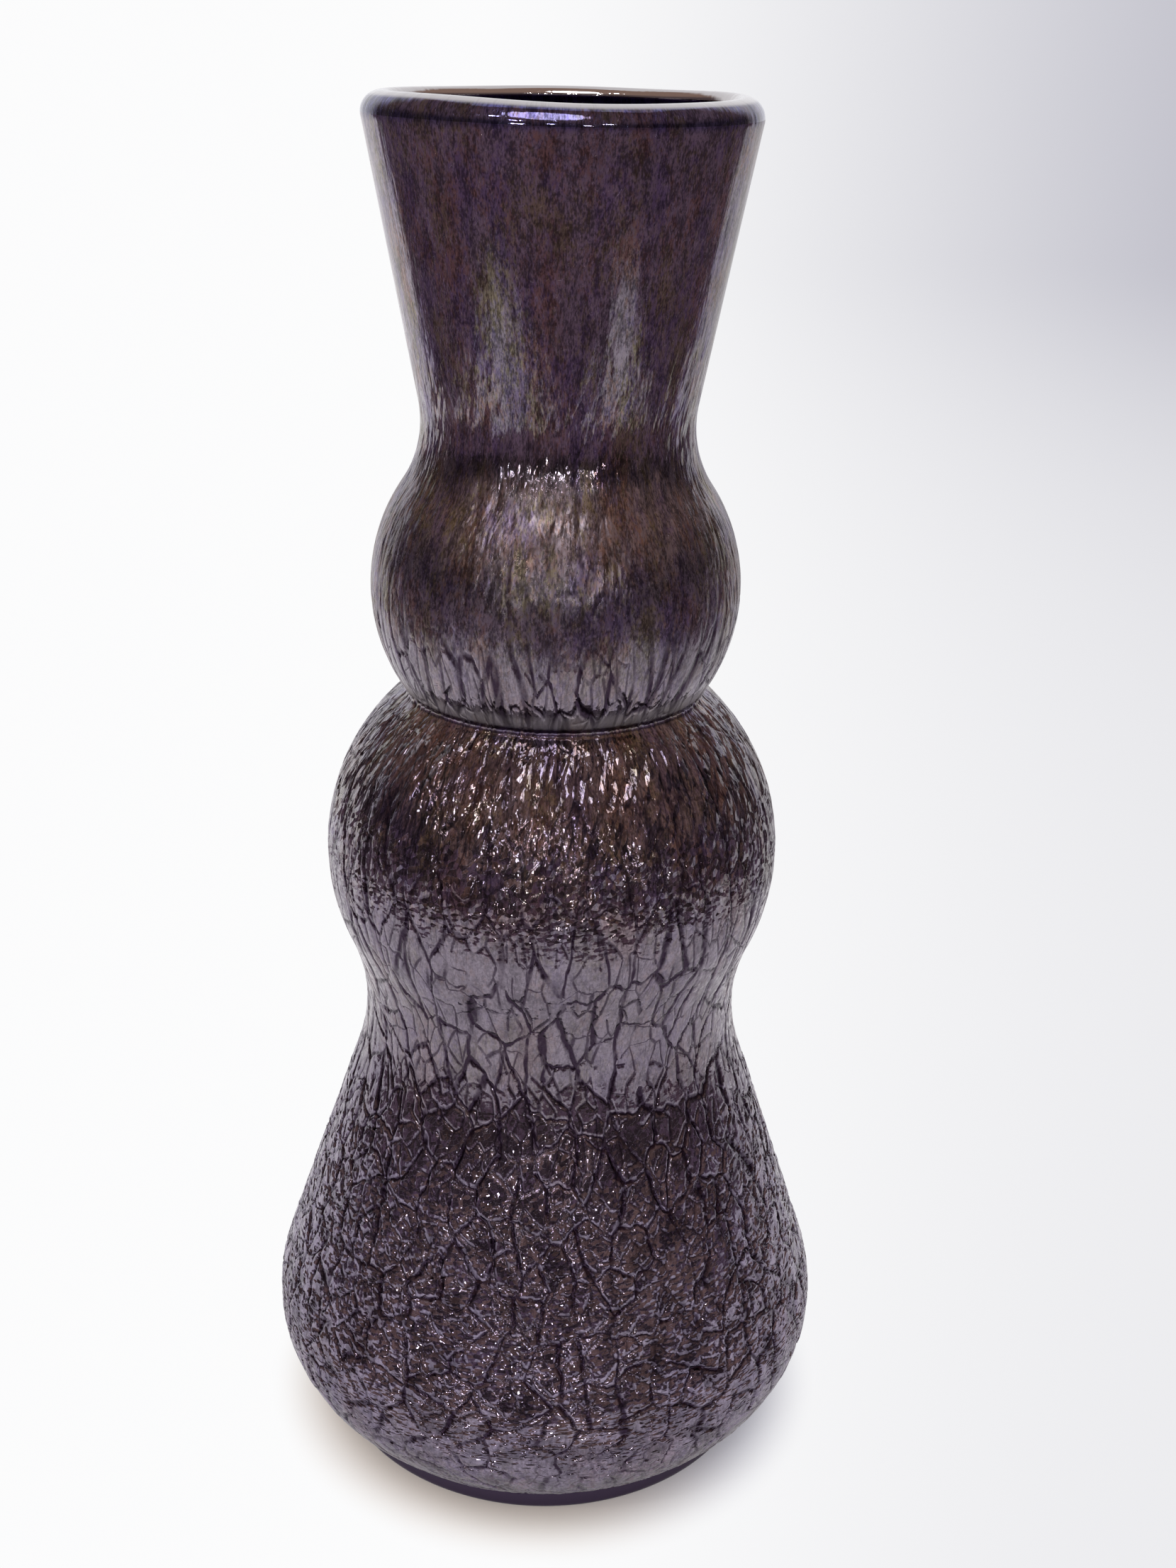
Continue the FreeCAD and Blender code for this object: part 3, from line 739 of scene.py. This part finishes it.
def band_mesh(name, grids, shares, first, last, size):
    """A closed ring of the casing, from one row of the skin to another, with its inner side."""
    columns = grids["points"].shape[0]
    outer = grids["points"][:, first:last + 1]
    inner_line = np.array([tuple(p) for p in wall_points(size, size.casing_wall, INNER_STEP)])
    travelled = running(np.linalg.norm(np.diff(inner_line, axis=0), axis=1))
    stations = np.linspace(shares[last], shares[first], INNER_ROWS) * travelled[-1]
    radius, height = (np.interp(stations, travelled, inner_line[:, i]) for i in (0, 1))
    angles = FULL_TURN * np.arange(columns) / columns
    cosine, sine = np.cos(angles), np.sin(angles)
    inner = np.stack([np.outer(cosine, radius), np.outer(sine, radius), np.tile(height, (columns, 1))],
                     axis=2)
    points = np.concatenate([outer, inner], axis=1)
    index = np.arange(columns * points.shape[1]).reshape(columns, points.shape[1])
    beside, below = np.roll(index, -1, axis=0), np.roll(index, -1, axis=1)
    faces = np.stack([index, below, np.roll(beside, -1, axis=1), beside], axis=2).reshape(-1, 4)
    mesh = bpy.data.meshes.new(name)
    mesh.vertices.add(index.size)
    mesh.vertices.foreach_set("co", points.reshape(-1).astype(np.float32))
    mesh.loops.add(faces.size)
    mesh.loops.foreach_set("vertex_index", faces.reshape(-1).astype(np.int32))
    mesh.polygons.add(len(faces))
    mesh.polygons.foreach_set("loop_start", np.arange(0, faces.size, 4, dtype=np.int32))
    mesh.update(calc_edges=True)
    for label in SKIN_LABELS:
        seen = grids[label][:, first:last + 1]
        store(mesh, label, np.concatenate([seen, np.repeat(seen[:, -1:], INNER_ROWS, axis=1)], axis=1))
    mesh.shade_smooth()
    inward = -np.stack([np.outer(cosine, np.ones(INNER_ROWS)), np.outer(sine, np.ones(INNER_ROWS)),
                        np.zeros((columns, INNER_ROWS))], axis=2)
    normals = np.concatenate([grids["normals"][:, first:last + 1], inward], axis=1).reshape(-1, 3)
    mesh.normals_split_custom_set_from_vertices([tuple(n) for n in normals])
    return mesh


def rgba(value):
    return (*value, 1.0)


def new_material(name):
    """An empty material: itself, a builder for its nodes and its shader."""
    material = bpy.data.materials.new(name)
    material.use_nodes = True
    return material, Nodes(material.node_tree), material.node_tree.nodes["Principled BSDF"]


def plain_material(name, base, metallic, roughness, coat=0.0):
    material, nodes, shader = new_material(name)
    for label, value in (("Base Color", rgba(base)), ("Metallic", metallic), ("Roughness", roughness),
                         ("Coat Weight", coat), ("Coat Roughness", 0.03)):
        nodes.feed(shader.inputs[label], value)
    return material


# Where something starts and where it is full, in metres. Above the lip joint: the painted shade on
# the lip's rounding and the painted highlight on its crest.
LIP_SHADE_RISE, CREST_HIGHLIGHT_RISE = (1.5 * MM, 4.0 * MM), (6.4 * MM, 7.1 * MM)
# Above the table, going up: the rough crease between the bulbs, with its painted highlight, starts and
# ends, and so does the softer gloss of the upper bulb.
CREASE_STARTS, CREASE_ENDS = (180.8 * MM, 182.0 * MM), (183.0 * MM, 186.5 * MM)
SOFT_STARTS, SOFT_ENDS = (188.0 * MM, 204.0 * MM), (226.0 * MM, 234.0 * MM)
CREASE_ROUGHNESS, CRACK_ROUGHNESS, SOFT_ROUGHNESS, GLOSS = 0.40, 0.15, 0.20, (0.04, 0.10)
# How strongly a colour covers what is under it.
VIOLET_SHARE, DUSK_SHARE, CREASE_HIGHLIGHT_SHARE, CRACK_SHADE_SHARE, HAIR_SHADE_SHARE = 0.85, 0.55, 0.55, 0.9, 0.7


def lustre_material(name, colours, groups):
    """Metallic lustre over dark glass: copper, gold and violet flecks, with painted shade and highlights."""
    material, nodes, shader = new_material(name)
    skin, draw, zones = (nodes.result("Vector", "ShaderNodeAttribute", attribute_name=label)
                         for label in SKIN_LABELS)
    crackle = nodes.outputs("ShaderNodeGroup", {"Skin": skin, "Draw": draw, "Zones": zones},
                            node_tree=groups[0])
    drift = nodes.outputs("ShaderNodeGroup", {"Skin": skin}, node_tree=groups[1])
    _, network, dense = nodes.split(zones)
    above_joint = nodes.split(skin)[2]
    height = nodes.split(nodes.result("Object", "ShaderNodeTexCoord"))[2]
    crease = nodes.ramp(height, *CREASE_STARTS) * nodes.fade(height, *CREASE_ENDS)
    calm = nodes.ramp(nodes.most(network, dense), 0.35, 1.0, 1.0, 0.35)
    base = nodes.blend(drift["Copper"], rgba(colours.silver), rgba(colours.copper))
    base = nodes.blend(drift["Gold"], base, rgba(colours.gold))
    base = nodes.blend(drift["Violet"] * VIOLET_SHARE, base, rgba(colours.violet))
    base = nodes.blend(calm, rgba(colours.silver), base)
    base = nodes.blend(dense * DUSK_SHARE, base, rgba(colours.dusk))
    fleck = nodes.ramp(crackle["Fleck"], 0.38, 0.60, -1.0, 1.0)
    base = base * fleck.times_plus(calm.times_plus(0.40, 0.06), 0.92) * crackle["Cloud"]
    # Painted shade darkens the rounding of the lip.
    base = nodes.blend(nodes.ramp(above_joint, *LIP_SHADE_RISE), base, base * tuple(colours.lip))
    # A painted highlight pales the crest of the lip and the crease between the bulbs.
    pale = nodes.most(nodes.ramp(above_joint, *CREST_HIGHLIGHT_RISE), crease * CREASE_HIGHLIGHT_SHARE)
    base = nodes.blend(pale, base, rgba(colours.crest))
    # Painted shade in the grooves of the cracks and hair lines.
    crack = nodes.most(crackle["Crack"] * CRACK_SHADE_SHARE, crackle["Hair"] * HAIR_SHADE_SHARE)
    nodes.feed(shader.inputs["Base Color"], nodes.blend(crack, base, rgba(colours.amethyst)))
    shader.inputs["Metallic"].default_value = 1.0
    rough = crack.times_plus(CRACK_ROUGHNESS, nodes.ramp(crackle["Fleck"], 0.3, 0.7, *GLOSS))
    soft = nodes.ramp(height, *SOFT_STARTS, 0.0, SOFT_ROUGHNESS) * nodes.fade(height, *SOFT_ENDS)
    nodes.feed(shader.inputs["Roughness"], crease.times_plus(CREASE_ROUGHNESS, rough + soft))
    nodes.feed(shader.inputs["Normal"], nodes.result(
        0, "ShaderNodeBump", {"Strength": 1.0, "Distance": MM, "Height": crackle["Fine"]}))
    return material


# Each ring of the casing and the height, in millimetres, where it ends.
CASING_BANDS = {"collar": 237.0, "upper_bulb_top": 203.0, "upper_bulb_foot": 180.3, "middle_bulb_top": 148.0,
                "middle_bulb_foot": 112.0, "waist": 84.0, "bell_top": 57.0, "bell_middle": 28.0,
                "bell_foot": 5.0}


class VASE_OT_casing(bpy.types.Operator):
    """Make the crackled casing as closed rings"""

    bl_idname = "vase.casing"
    bl_label = "Crackled casing"

    def execute(self, context):
        size, finish = context.scene.vase_sizes, context.scene.vase_crackle
        groups = crackle_group("ShaderNodeTree"), tone_group()
        material = lustre_material("crackle lustre", context.scene.vase_colours, groups)
        grids, shares = crackled_skin(size, finish, material)
        heights = grids["points"][:, :, 2].mean(axis=0)
        cuts = [0] + [int(np.argmin(np.abs(heights - end * MM))) for end in CASING_BANDS.values()]
        cuts[-1] = len(heights) - 1
        for label, first, last in zip(CASING_BANDS, cuts, cuts[1:]):
            name = "casing_" + label
            mesh = band_mesh(name, grids, shares, first, last, size)
            add_piece(name, mesh, material, "crackle_casing")
        return {"FINISHED"}


# Faces round each turned piece.
LIP_COLUMNS, BODY_COLUMNS, FOOT_COLUMNS = 384, 192, 256
# The waves of the hand-made rim: how many round it, where they start in radians, and their share of the
# wobble. A wave only sinks the rim, by up to twice its share, so the lip stays within its height.
RIM_WAVES = ((2, 0.6, 1.0), (3, 2.1, 0.5), (5, 0.0, 0.3))
# The inside of the lip starts this far in from the crest, and its painted shade and highlight begin
# this much lower.
LIP_INSIDE, INSIDE_LOWER = 0.3 * MM, 1.2 * MM


def lip_outline(size, step):
    """The rounded lip as a ring: the outer wall, the bead and the bore."""
    lean = collar_lean(size)
    wall = size.casing_wall + size.body_wall
    top = wall_points(size, 0.0, step)[0]
    bore = Vector((top.x - wall / math.cos(lean), top.y))
    outer = Vector((size.rim_radius - size.lip_outer_round, size.height - size.lip_outer_round))
    inner = Vector((outer.x, size.height - size.lip_inner_round))
    crest = Vector((outer.x, size.height))
    shoulder = polar(outer, size.lip_outer_round, -lean)
    span = inner - bore
    way = math.atan2(span.y, span.x) + math.asin(size.lip_inner_round / span.length)
    run = math.sqrt(span.length ** 2 - size.lip_inner_round ** 2)
    mouth = bore + Vector((math.cos(way), math.sin(way))) * run
    return trace(step, top, (None, shoulder), (outer, crest), (inner, mouth), (None, bore),
                 (None, top, 4 * step))


def finish_lip(mesh, size, core):
    """Gives the lip what the crackle reads, and the slight waves of a rim made by hand."""
    _, _, pull, streaks, _, _ = ZONES[0]
    values = {label: [] for label in SKIN_LABELS}
    for vertex in mesh.vertices:
        rise = vertex.co.z - size.joint_height
        angle = math.atan2(vertex.co.y, vertex.co.x)
        radius = math.hypot(vertex.co.x, vertex.co.y)
        inside = 1.0 if radius < size.rim_radius - size.lip_outer_round - LIP_INSIDE else 0.0
        values["skin"] += [core * math.cos(angle), core * math.sin(angle), rise + inside * INSIDE_LOWER]
        values["draw"] += [radius / core, pull, -rise * pull]
        values["zones"] += [streaks * (1.0 - inside), 0.0, 0.0]
        stray = sum(share * (math.sin(count * angle + start) - 1.0) for count, start, share in RIM_WAVES)
        vertex.co.z += stray * size.lip_wobble * rise / (size.height - size.joint_height)
    for label in SKIN_LABELS:
        store(mesh, label, values[label])


class VASE_OT_lip(bpy.types.Operator):
    """Make the rounded lip"""

    bl_idname = "vase.lip"
    bl_label = "Lip ring"

    def execute(self, context):
        size, colours = context.scene.vase_sizes, context.scene.vase_colours
        mesh = turned_mesh("lip", lip_outline(size, 0.3 * MM), LIP_COLUMNS, closed=True)
        finish_lip(mesh, size, context.scene.vase_crackle.core_radius)
        groups = [bpy.data.node_groups[name] for name in ("crackle shade", "lustre drift")]
        material = lustre_material("lip lustre", colours, groups)
        add_piece("lip_ring_glass", mesh, material, "lip_ring")
        mesh.set_sharp_from_angle(angle=math.radians(40))
        return {"FINISHED"}


class VASE_OT_body(bpy.types.Operator):
    """Make the amethyst body: the inner wall and the floor"""

    bl_idname = "vase.body"
    bl_label = "Amethyst body"

    def execute(self, context):
        size, colours = context.scene.vase_sizes, context.scene.vase_colours
        step = 1.5 * MM
        wall = size.casing_wall + size.body_wall
        floor = size.foot_height + size.floor_thickness
        at = shared_centres(size)
        curve = size.belly_curve - wall
        aside = math.sqrt((curve - size.floor_round) ** 2 - (at["belly"].y - floor - size.floor_round) ** 2)
        turn = Vector((at["belly"].x + aside, floor + size.floor_round))
        turn_top = toward(at["belly"], turn, curve)
        inner = wall_points(size, wall, step, turn_top)
        outer = wall_points(size, size.casing_wall, step)
        bottom = Vector((size.foot_radius, size.foot_height))
        outline = (trace(step, (0.0, size.foot_height), (None, bottom, 4 * step), (None, outer[-1]))
                   + outer[::-1] + inner
                   + trace(step, turn_top, (turn, (turn.x, floor)), (None, (0.0, floor), 4 * step))
                   + [Vector((0.0, floor))])
        mesh = turned_mesh("body", outline, BODY_COLUMNS, closed=False)
        material = plain_material("amethyst glass", colours.mouth, 0.6, 0.08, 0.5)
        add_piece("amethyst_body_glass", mesh, material, "amethyst_body")
        return {"FINISHED"}


class VASE_OT_foot(bpy.types.Operator):
    """Make the foot pad with its ground hollow"""

    bl_idname = "vase.foot"
    bl_label = "Foot pad"

    def execute(self, context):
        size, colours = context.scene.vase_sizes, context.scene.vase_colours
        step = 0.5 * MM
        dome = (size.pontil_radius ** 2 + size.pontil_depth ** 2) / (2 * size.pontil_depth)
        edge = Vector((size.foot_radius - size.foot_edge_round, 0.0))
        corner = Vector((edge.x, size.foot_edge_round))
        side = Vector((size.foot_radius, size.foot_edge_round))
        rim = Vector((size.foot_radius, size.foot_height))
        outline = trace(step, (0.0, size.pontil_depth),
                        ((0.0, size.pontil_depth - dome), (size.pontil_radius, 0.0), 4 * step),
                        (None, edge, 4 * step), (corner, side), (None, rim),
                        (None, (0.0, size.foot_height), 4 * step)) + [Vector((0.0, size.foot_height))]
        mesh = turned_mesh("foot", outline, FOOT_COLUMNS, closed=False)
        material = plain_material("foot glass", colours.foot, 1.0, 0.30)
        add_piece("foot_pad_glass", mesh, material, "foot_pad")
        return {"FINISHED"}


# Colours that polished glass mirrors: the room below, level with and above it, and the white table in
# general, near the vase and to its left.
ROOM_LOW = (0.22, 0.155, 0.20, 1.0)
ROOM_LEVEL = (0.105, 0.078, 0.086, 1.0)
ROOM_HIGH = (0.36, 0.245, 0.200, 1.0)
ROOM_WHITE = (0.95, 0.95, 0.98, 1.0)
TABLE_SHEEN = (0.70, 0.68, 0.70, 1.0)
TABLE_NEAR = (0.92, 0.89, 0.92, 1.0)
TABLE_LEFT = (1.0, 0.97, 1.0, 1.0)
# Degrees above level between which one colour of the room turns to the next, then degrees round from
# the front where the white backdrop begins and above level where it ends.
LOW_TO_LEVEL, LEVEL_TO_HIGH, BACKDROP_FROM, BACKDROP_TOP = (-22, -10), (6, 32), (124, 146), (30, 50)
# The dark notch in the front of the mirrored table, in metres: its middle, half its width and its back.
NOTCH_MIDDLE, NOTCH_HALF, NOTCH_BACK = 0.10, (0.17, 0.21), (-0.42, -0.27)
# Light through and off the vase: warm to its left and in front, cool to its right.
SHADOW_WARM, SHADOW_COOL = (0.90, 0.78, 0.68, 1.0), (0.80, 0.79, 0.90, 1.0)
FLOOR_WHITE = (0.93, 0.93, 0.93, 1.0)
BACKDROP_WHITE, BACKDROP_GREY = (0.97, 0.97, 0.975, 1.0), (0.46, 0.455, 0.53, 1.0)
# Metres: how far in front of the vase the grey of the backdrop is laid out from, and how far off it lies.
BACKDROP_EYE, BACKDROP_AWAY = 0.39, 4.0


def backdrop_shade(nodes, aside, ahead):
    """White, falling off to a pale grey far to the right, from plain offsets aside and ahead."""
    bearing = nodes.work("ARCTAN2", aside, ahead)
    right = (nodes.ramp(bearing, -0.06, 0.44) * nodes.fade(bearing, 0.42, 0.75)
             * nodes.ramp(ahead, 0.3, 2.8, 0.25, 1.0))
    return nodes.blend(right, BACKDROP_WHITE, BACKDROP_GREY)


def floor_material(settings):
    """White floor with the vase's shadow. Polished glass sees a white table of limited size on it."""
    material, nodes, shader = new_material("white floor")
    shader.inputs["Roughness"].default_value = 0.9
    shader.inputs["Specular IOR Level"].default_value = 0.0
    path = nodes.outputs("ShaderNodeLightPath")
    centred = nodes.result("Object", "ShaderNodeTexCoord")
    x, y, _ = nodes.split(centred)
    away = nodes.size_of(centred)
    # The mirrored table has soft edges, widens to the back, and has a ragged notch in its front.
    front, side = -settings.table_front, settings.table_side
    widening = nodes.most(y - 0.1, 0.0) * 0.9
    table = (nodes.ramp(y, front - 0.05, front + 0.08)
             * nodes.fade(abs(x) - widening, side - 0.05, side + 0.10))
    ragged = (nodes.noise(centred, 1 / 16) - 0.5) * 0.20
    outside = nodes.most(nodes.ramp(abs(x - NOTCH_MIDDLE) + ragged, *NOTCH_HALF),
                         nodes.ramp(y + ragged, *NOTCH_BACK))
    sheen = nodes.blend(nodes.ramp(away, 0.20, 0.34), TABLE_NEAR, TABLE_SHEEN)
    left = nodes.fade(x, -0.26, -0.12) * nodes.ramp(y, -0.22, -0.08)
    mirrored = nodes.blend(table * outside, ROOM_LOW, nodes.blend(left, sheen, TABLE_LEFT))
    plain = nodes.blend(nodes.ramp(y.times_plus(0.5, x), -0.03, 0.04), SHADOW_WARM, SHADOW_COOL)
    plain = nodes.blend(nodes.ramp(away, 0.060, 0.105), plain, FLOOR_WHITE)
    nodes.feed(shader.inputs["Base Color"], nodes.blend(path["Is Glossy Ray"], plain, mirrored))
    # To the camera the floor turns plain white away from the vase, and a little grey to the right.
    glow = nodes.result(0, "ShaderNodeEmission",
                        {"Color": backdrop_shade(nodes, x, y + BACKDROP_EYE), "Strength": 1.0})
    far = nodes.ramp(away, 0.050, 0.068, settings.floor_glow, 1.0)
    mixed = nodes.result(0, "ShaderNodeMixShader", {0: far * path["Is Camera Ray"],
                                                    1: Wire(nodes, shader.outputs[0]), 2: glow})
    nodes.feed(nodes.tree.nodes["Material Output"].inputs[0], mixed)
    return material


def radians(*degrees):
    return [math.radians(value) for value in degrees]


# The bright patch of the room: bearing of its middle, half its width, its foot and head in degrees, and
# its colour.
WINDOW = (-19.0, 2.5, -34.0, -6.0, (0.75, 0.62, 1.0, 1.0))


def make_world(settings):
    """White for the camera, even light for matt surfaces, and a room for polished ones."""
    world = bpy.data.worlds.new("studio")
    bpy.context.scene.world = world
    world.use_nodes = True
    world.node_tree.nodes.clear()
    nodes = Nodes(world.node_tree)
    x, y, z = nodes.split(nodes.result("Generated", "ShaderNodeTexCoord"))
    path = nodes.outputs("ShaderNodeLightPath")
    bearing = nodes.work("ARCTAN2", x, y * -1.0)
    rise = nodes.work("ARCSINE", z)
    room = nodes.blend(nodes.ramp(rise, *radians(*LOW_TO_LEVEL)), ROOM_LOW, ROOM_LEVEL)
    room = nodes.blend(nodes.ramp(rise, *radians(*LEVEL_TO_HIGH)), room, ROOM_HIGH)
    backdrop = (nodes.ramp(abs(bearing), *radians(*BACKDROP_FROM))
                * nodes.fade(rise, *radians(*BACKDROP_TOP)))
    above = nodes.ramp(y, 0.03, 0.12) * nodes.ramp(z, 0.3, 0.45) * nodes.fade(abs(x), 0.36, 0.46)
    room = nodes.blend(nodes.most(backdrop, above), room, ROOM_WHITE)
    middle, half, foot, head, glow = WINDOW
    window = (nodes.fade(abs(bearing - math.radians(middle)), *radians(half, half + 1.5))
              * (nodes.ramp(rise, *radians(foot, foot + 3)) * nodes.fade(rise, *radians(head, head + 3))))
    room = nodes.blend(window, room, glow)
    seen = nodes.blend(path["Is Glossy Ray"], rgba([settings.world_level] * 3), room)
    # To the camera the backdrop lies a set way off, and has the shade of a floor that far away.
    flat = nodes.split(nodes.combine(x, y, 0.0) * BACKDROP_AWAY)
    seen = nodes.blend(path["Is Camera Ray"], seen, backdrop_shade(nodes, *flat[:2]))
    background = nodes.result(0, "ShaderNodeBackground", {"Color": seen, "Strength": 1.0})
    nodes.add("ShaderNodeOutputWorld", {0: background})


# Small lamps that make the glints: name, bearing and rise in degrees, and diameter in metres.
GLINTS = (("high", -42.0, 40.0, 0.045), ("left", -27.0, 27.0, 0.040), ("middle", -4.0, 33.0, 0.025),
          ("right", 25.0, 22.0, 0.035), ("low_left", -24.0, 11.0, 0.035), ("low_middle", -6.0, 17.0, 0.035),
          ("low_right", 13.0, 13.0, 0.035))
GLINT_DISTANCE, GLINT_RADIANCE = 1.3, 115.0
# Each lamp: name, bearing and rise in degrees, distance and diameter in metres, radiance, and whether
# polished glass mirrors it. The card hangs close above the lip and a little in front of it.
LAMPS = (("key", -70.0, 55.0, 1.5, 0.80, 1.6, False),
         *(("glint_" + name, bearing, rise, GLINT_DISTANCE, width, GLINT_RADIANCE, True)
           for name, bearing, rise, width in GLINTS),
         ("lip_card", -9.5, 64.0, 0.278, 0.10, 4.0, True))
LAMP_AIM = Vector((0.0, 0.0, 0.15))  # what every lamp faces
FLOOR_REACH, SENSOR_WIDTH = 6.0, 36.0  # metres each way, and millimetres


def add_lamp(name, bearing, rise, distance, width, radiance, mirrored):
    """A round lamp that faces the vase. Its power follows from its width and radiance."""
    lamp_data = bpy.data.lights.new(name, "AREA")
    lamp_data.shape = "DISK"
    lamp_data.size = width
    lamp_data.energy = radiance * math.pi * math.pi * (width / 2) ** 2
    lamp = add_object(name, lamp_data)
    turn, lift = radians(bearing, rise)
    way = Vector((math.sin(turn) * math.cos(lift), -math.cos(turn) * math.cos(lift), math.sin(lift)))
    lamp.location = LAMP_AIM + way * distance
    lamp.rotation_euler = (-way).to_track_quat("-Z", "Y").to_euler()
    lamp.visible_glossy = mirrored
    lamp.visible_camera = False


class VASE_OT_stage(bpy.types.Operator):
    """Set the floor, the light and the photograph's camera"""

    bl_idname = "vase.stage"
    bl_label = "Stage"

    def execute(self, context):
        settings = context.scene.vase_studio
        mesh = bpy.data.meshes.new("floor")
        corners = ((-1, -1, 0), (1, -1, 0), (1, 1, 0), (-1, 1, 0))
        mesh.from_pydata([Vector(corner) * FLOOR_REACH for corner in corners], [], [(0, 1, 2, 3)])
        mesh.materials.append(floor_material(settings))
        add_object("floor", mesh)
        make_world(settings)
        for lamp in LAMPS:
            add_lamp(*lamp)
        camera_data = bpy.data.cameras.new("camera")
        camera_data.sensor_width = SENSOR_WIDTH
        camera_data.lens = settings.focal_pixels / PHOTO_HEIGHT * SENSOR_WIDTH
        camera_data.clip_start = 0.01
        camera = add_object("camera", camera_data)
        camera.location = (0.0, -settings.camera_distance, settings.camera_height)
        heading = Matrix.Rotation(-settings.camera_yaw, 4, "Z")
        pitch = Matrix.Rotation(math.pi / 2 - settings.camera_pitch, 4, "X")
        roll = Matrix.Rotation(settings.camera_roll, 4, "Z")
        camera.rotation_euler = (heading @ pitch @ roll).to_euler()
        context.scene.camera = camera
        context.scene.view_settings.view_transform = "Standard"
        return {"FINISHED"}


class VASE_PT_panel(bpy.types.Panel):
    """Sizes, colours and pieces of the vase"""

    bl_idname = "VASE_PT_panel"
    bl_label = "Vase"
    bl_space_type = "VIEW_3D"
    bl_region_type = "UI"
    bl_category = "Vase"

    def draw(self, context):
        scene = context.scene
        for group in (scene.vase_sizes, scene.vase_crackle, scene.vase_colours, scene.vase_studio):
            box = self.layout.box()
            for name in group.bl_rna.properties.keys():
                if name not in ("rna_type", "name"):
                    box.prop(group, name)
        for operator in OPERATORS:
            self.layout.operator(operator.bl_idname)


GROUPS = {"vase_sizes": VaseSizes, "vase_crackle": CrackleFinish, "vase_colours": GlassColours,
          "vase_studio": StudioSettings}
OPERATORS = (VASE_OT_stage, VASE_OT_body, VASE_OT_casing, VASE_OT_lip, VASE_OT_foot)


def register():
    for name, group in GROUPS.items():
        bpy.utils.register_class(group)
        setattr(bpy.types.Scene, name, PointerProperty(type=group))
    for operator in OPERATORS:
        bpy.utils.register_class(operator)
    bpy.utils.register_class(VASE_PT_panel)


def unregister():
    bpy.utils.unregister_class(VASE_PT_panel)
    for operator in reversed(OPERATORS):
        bpy.utils.unregister_class(operator)
    for name, group in GROUPS.items():
        delattr(bpy.types.Scene, name)
        bpy.utils.unregister_class(group)


def main():
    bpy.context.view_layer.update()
    register()
    bpy.ops.vase.stage()
    bpy.ops.vase.body()
    bpy.ops.vase.casing()
    bpy.ops.vase.lip()
    bpy.ops.vase.foot()


if __name__ == "__main__":
    main()
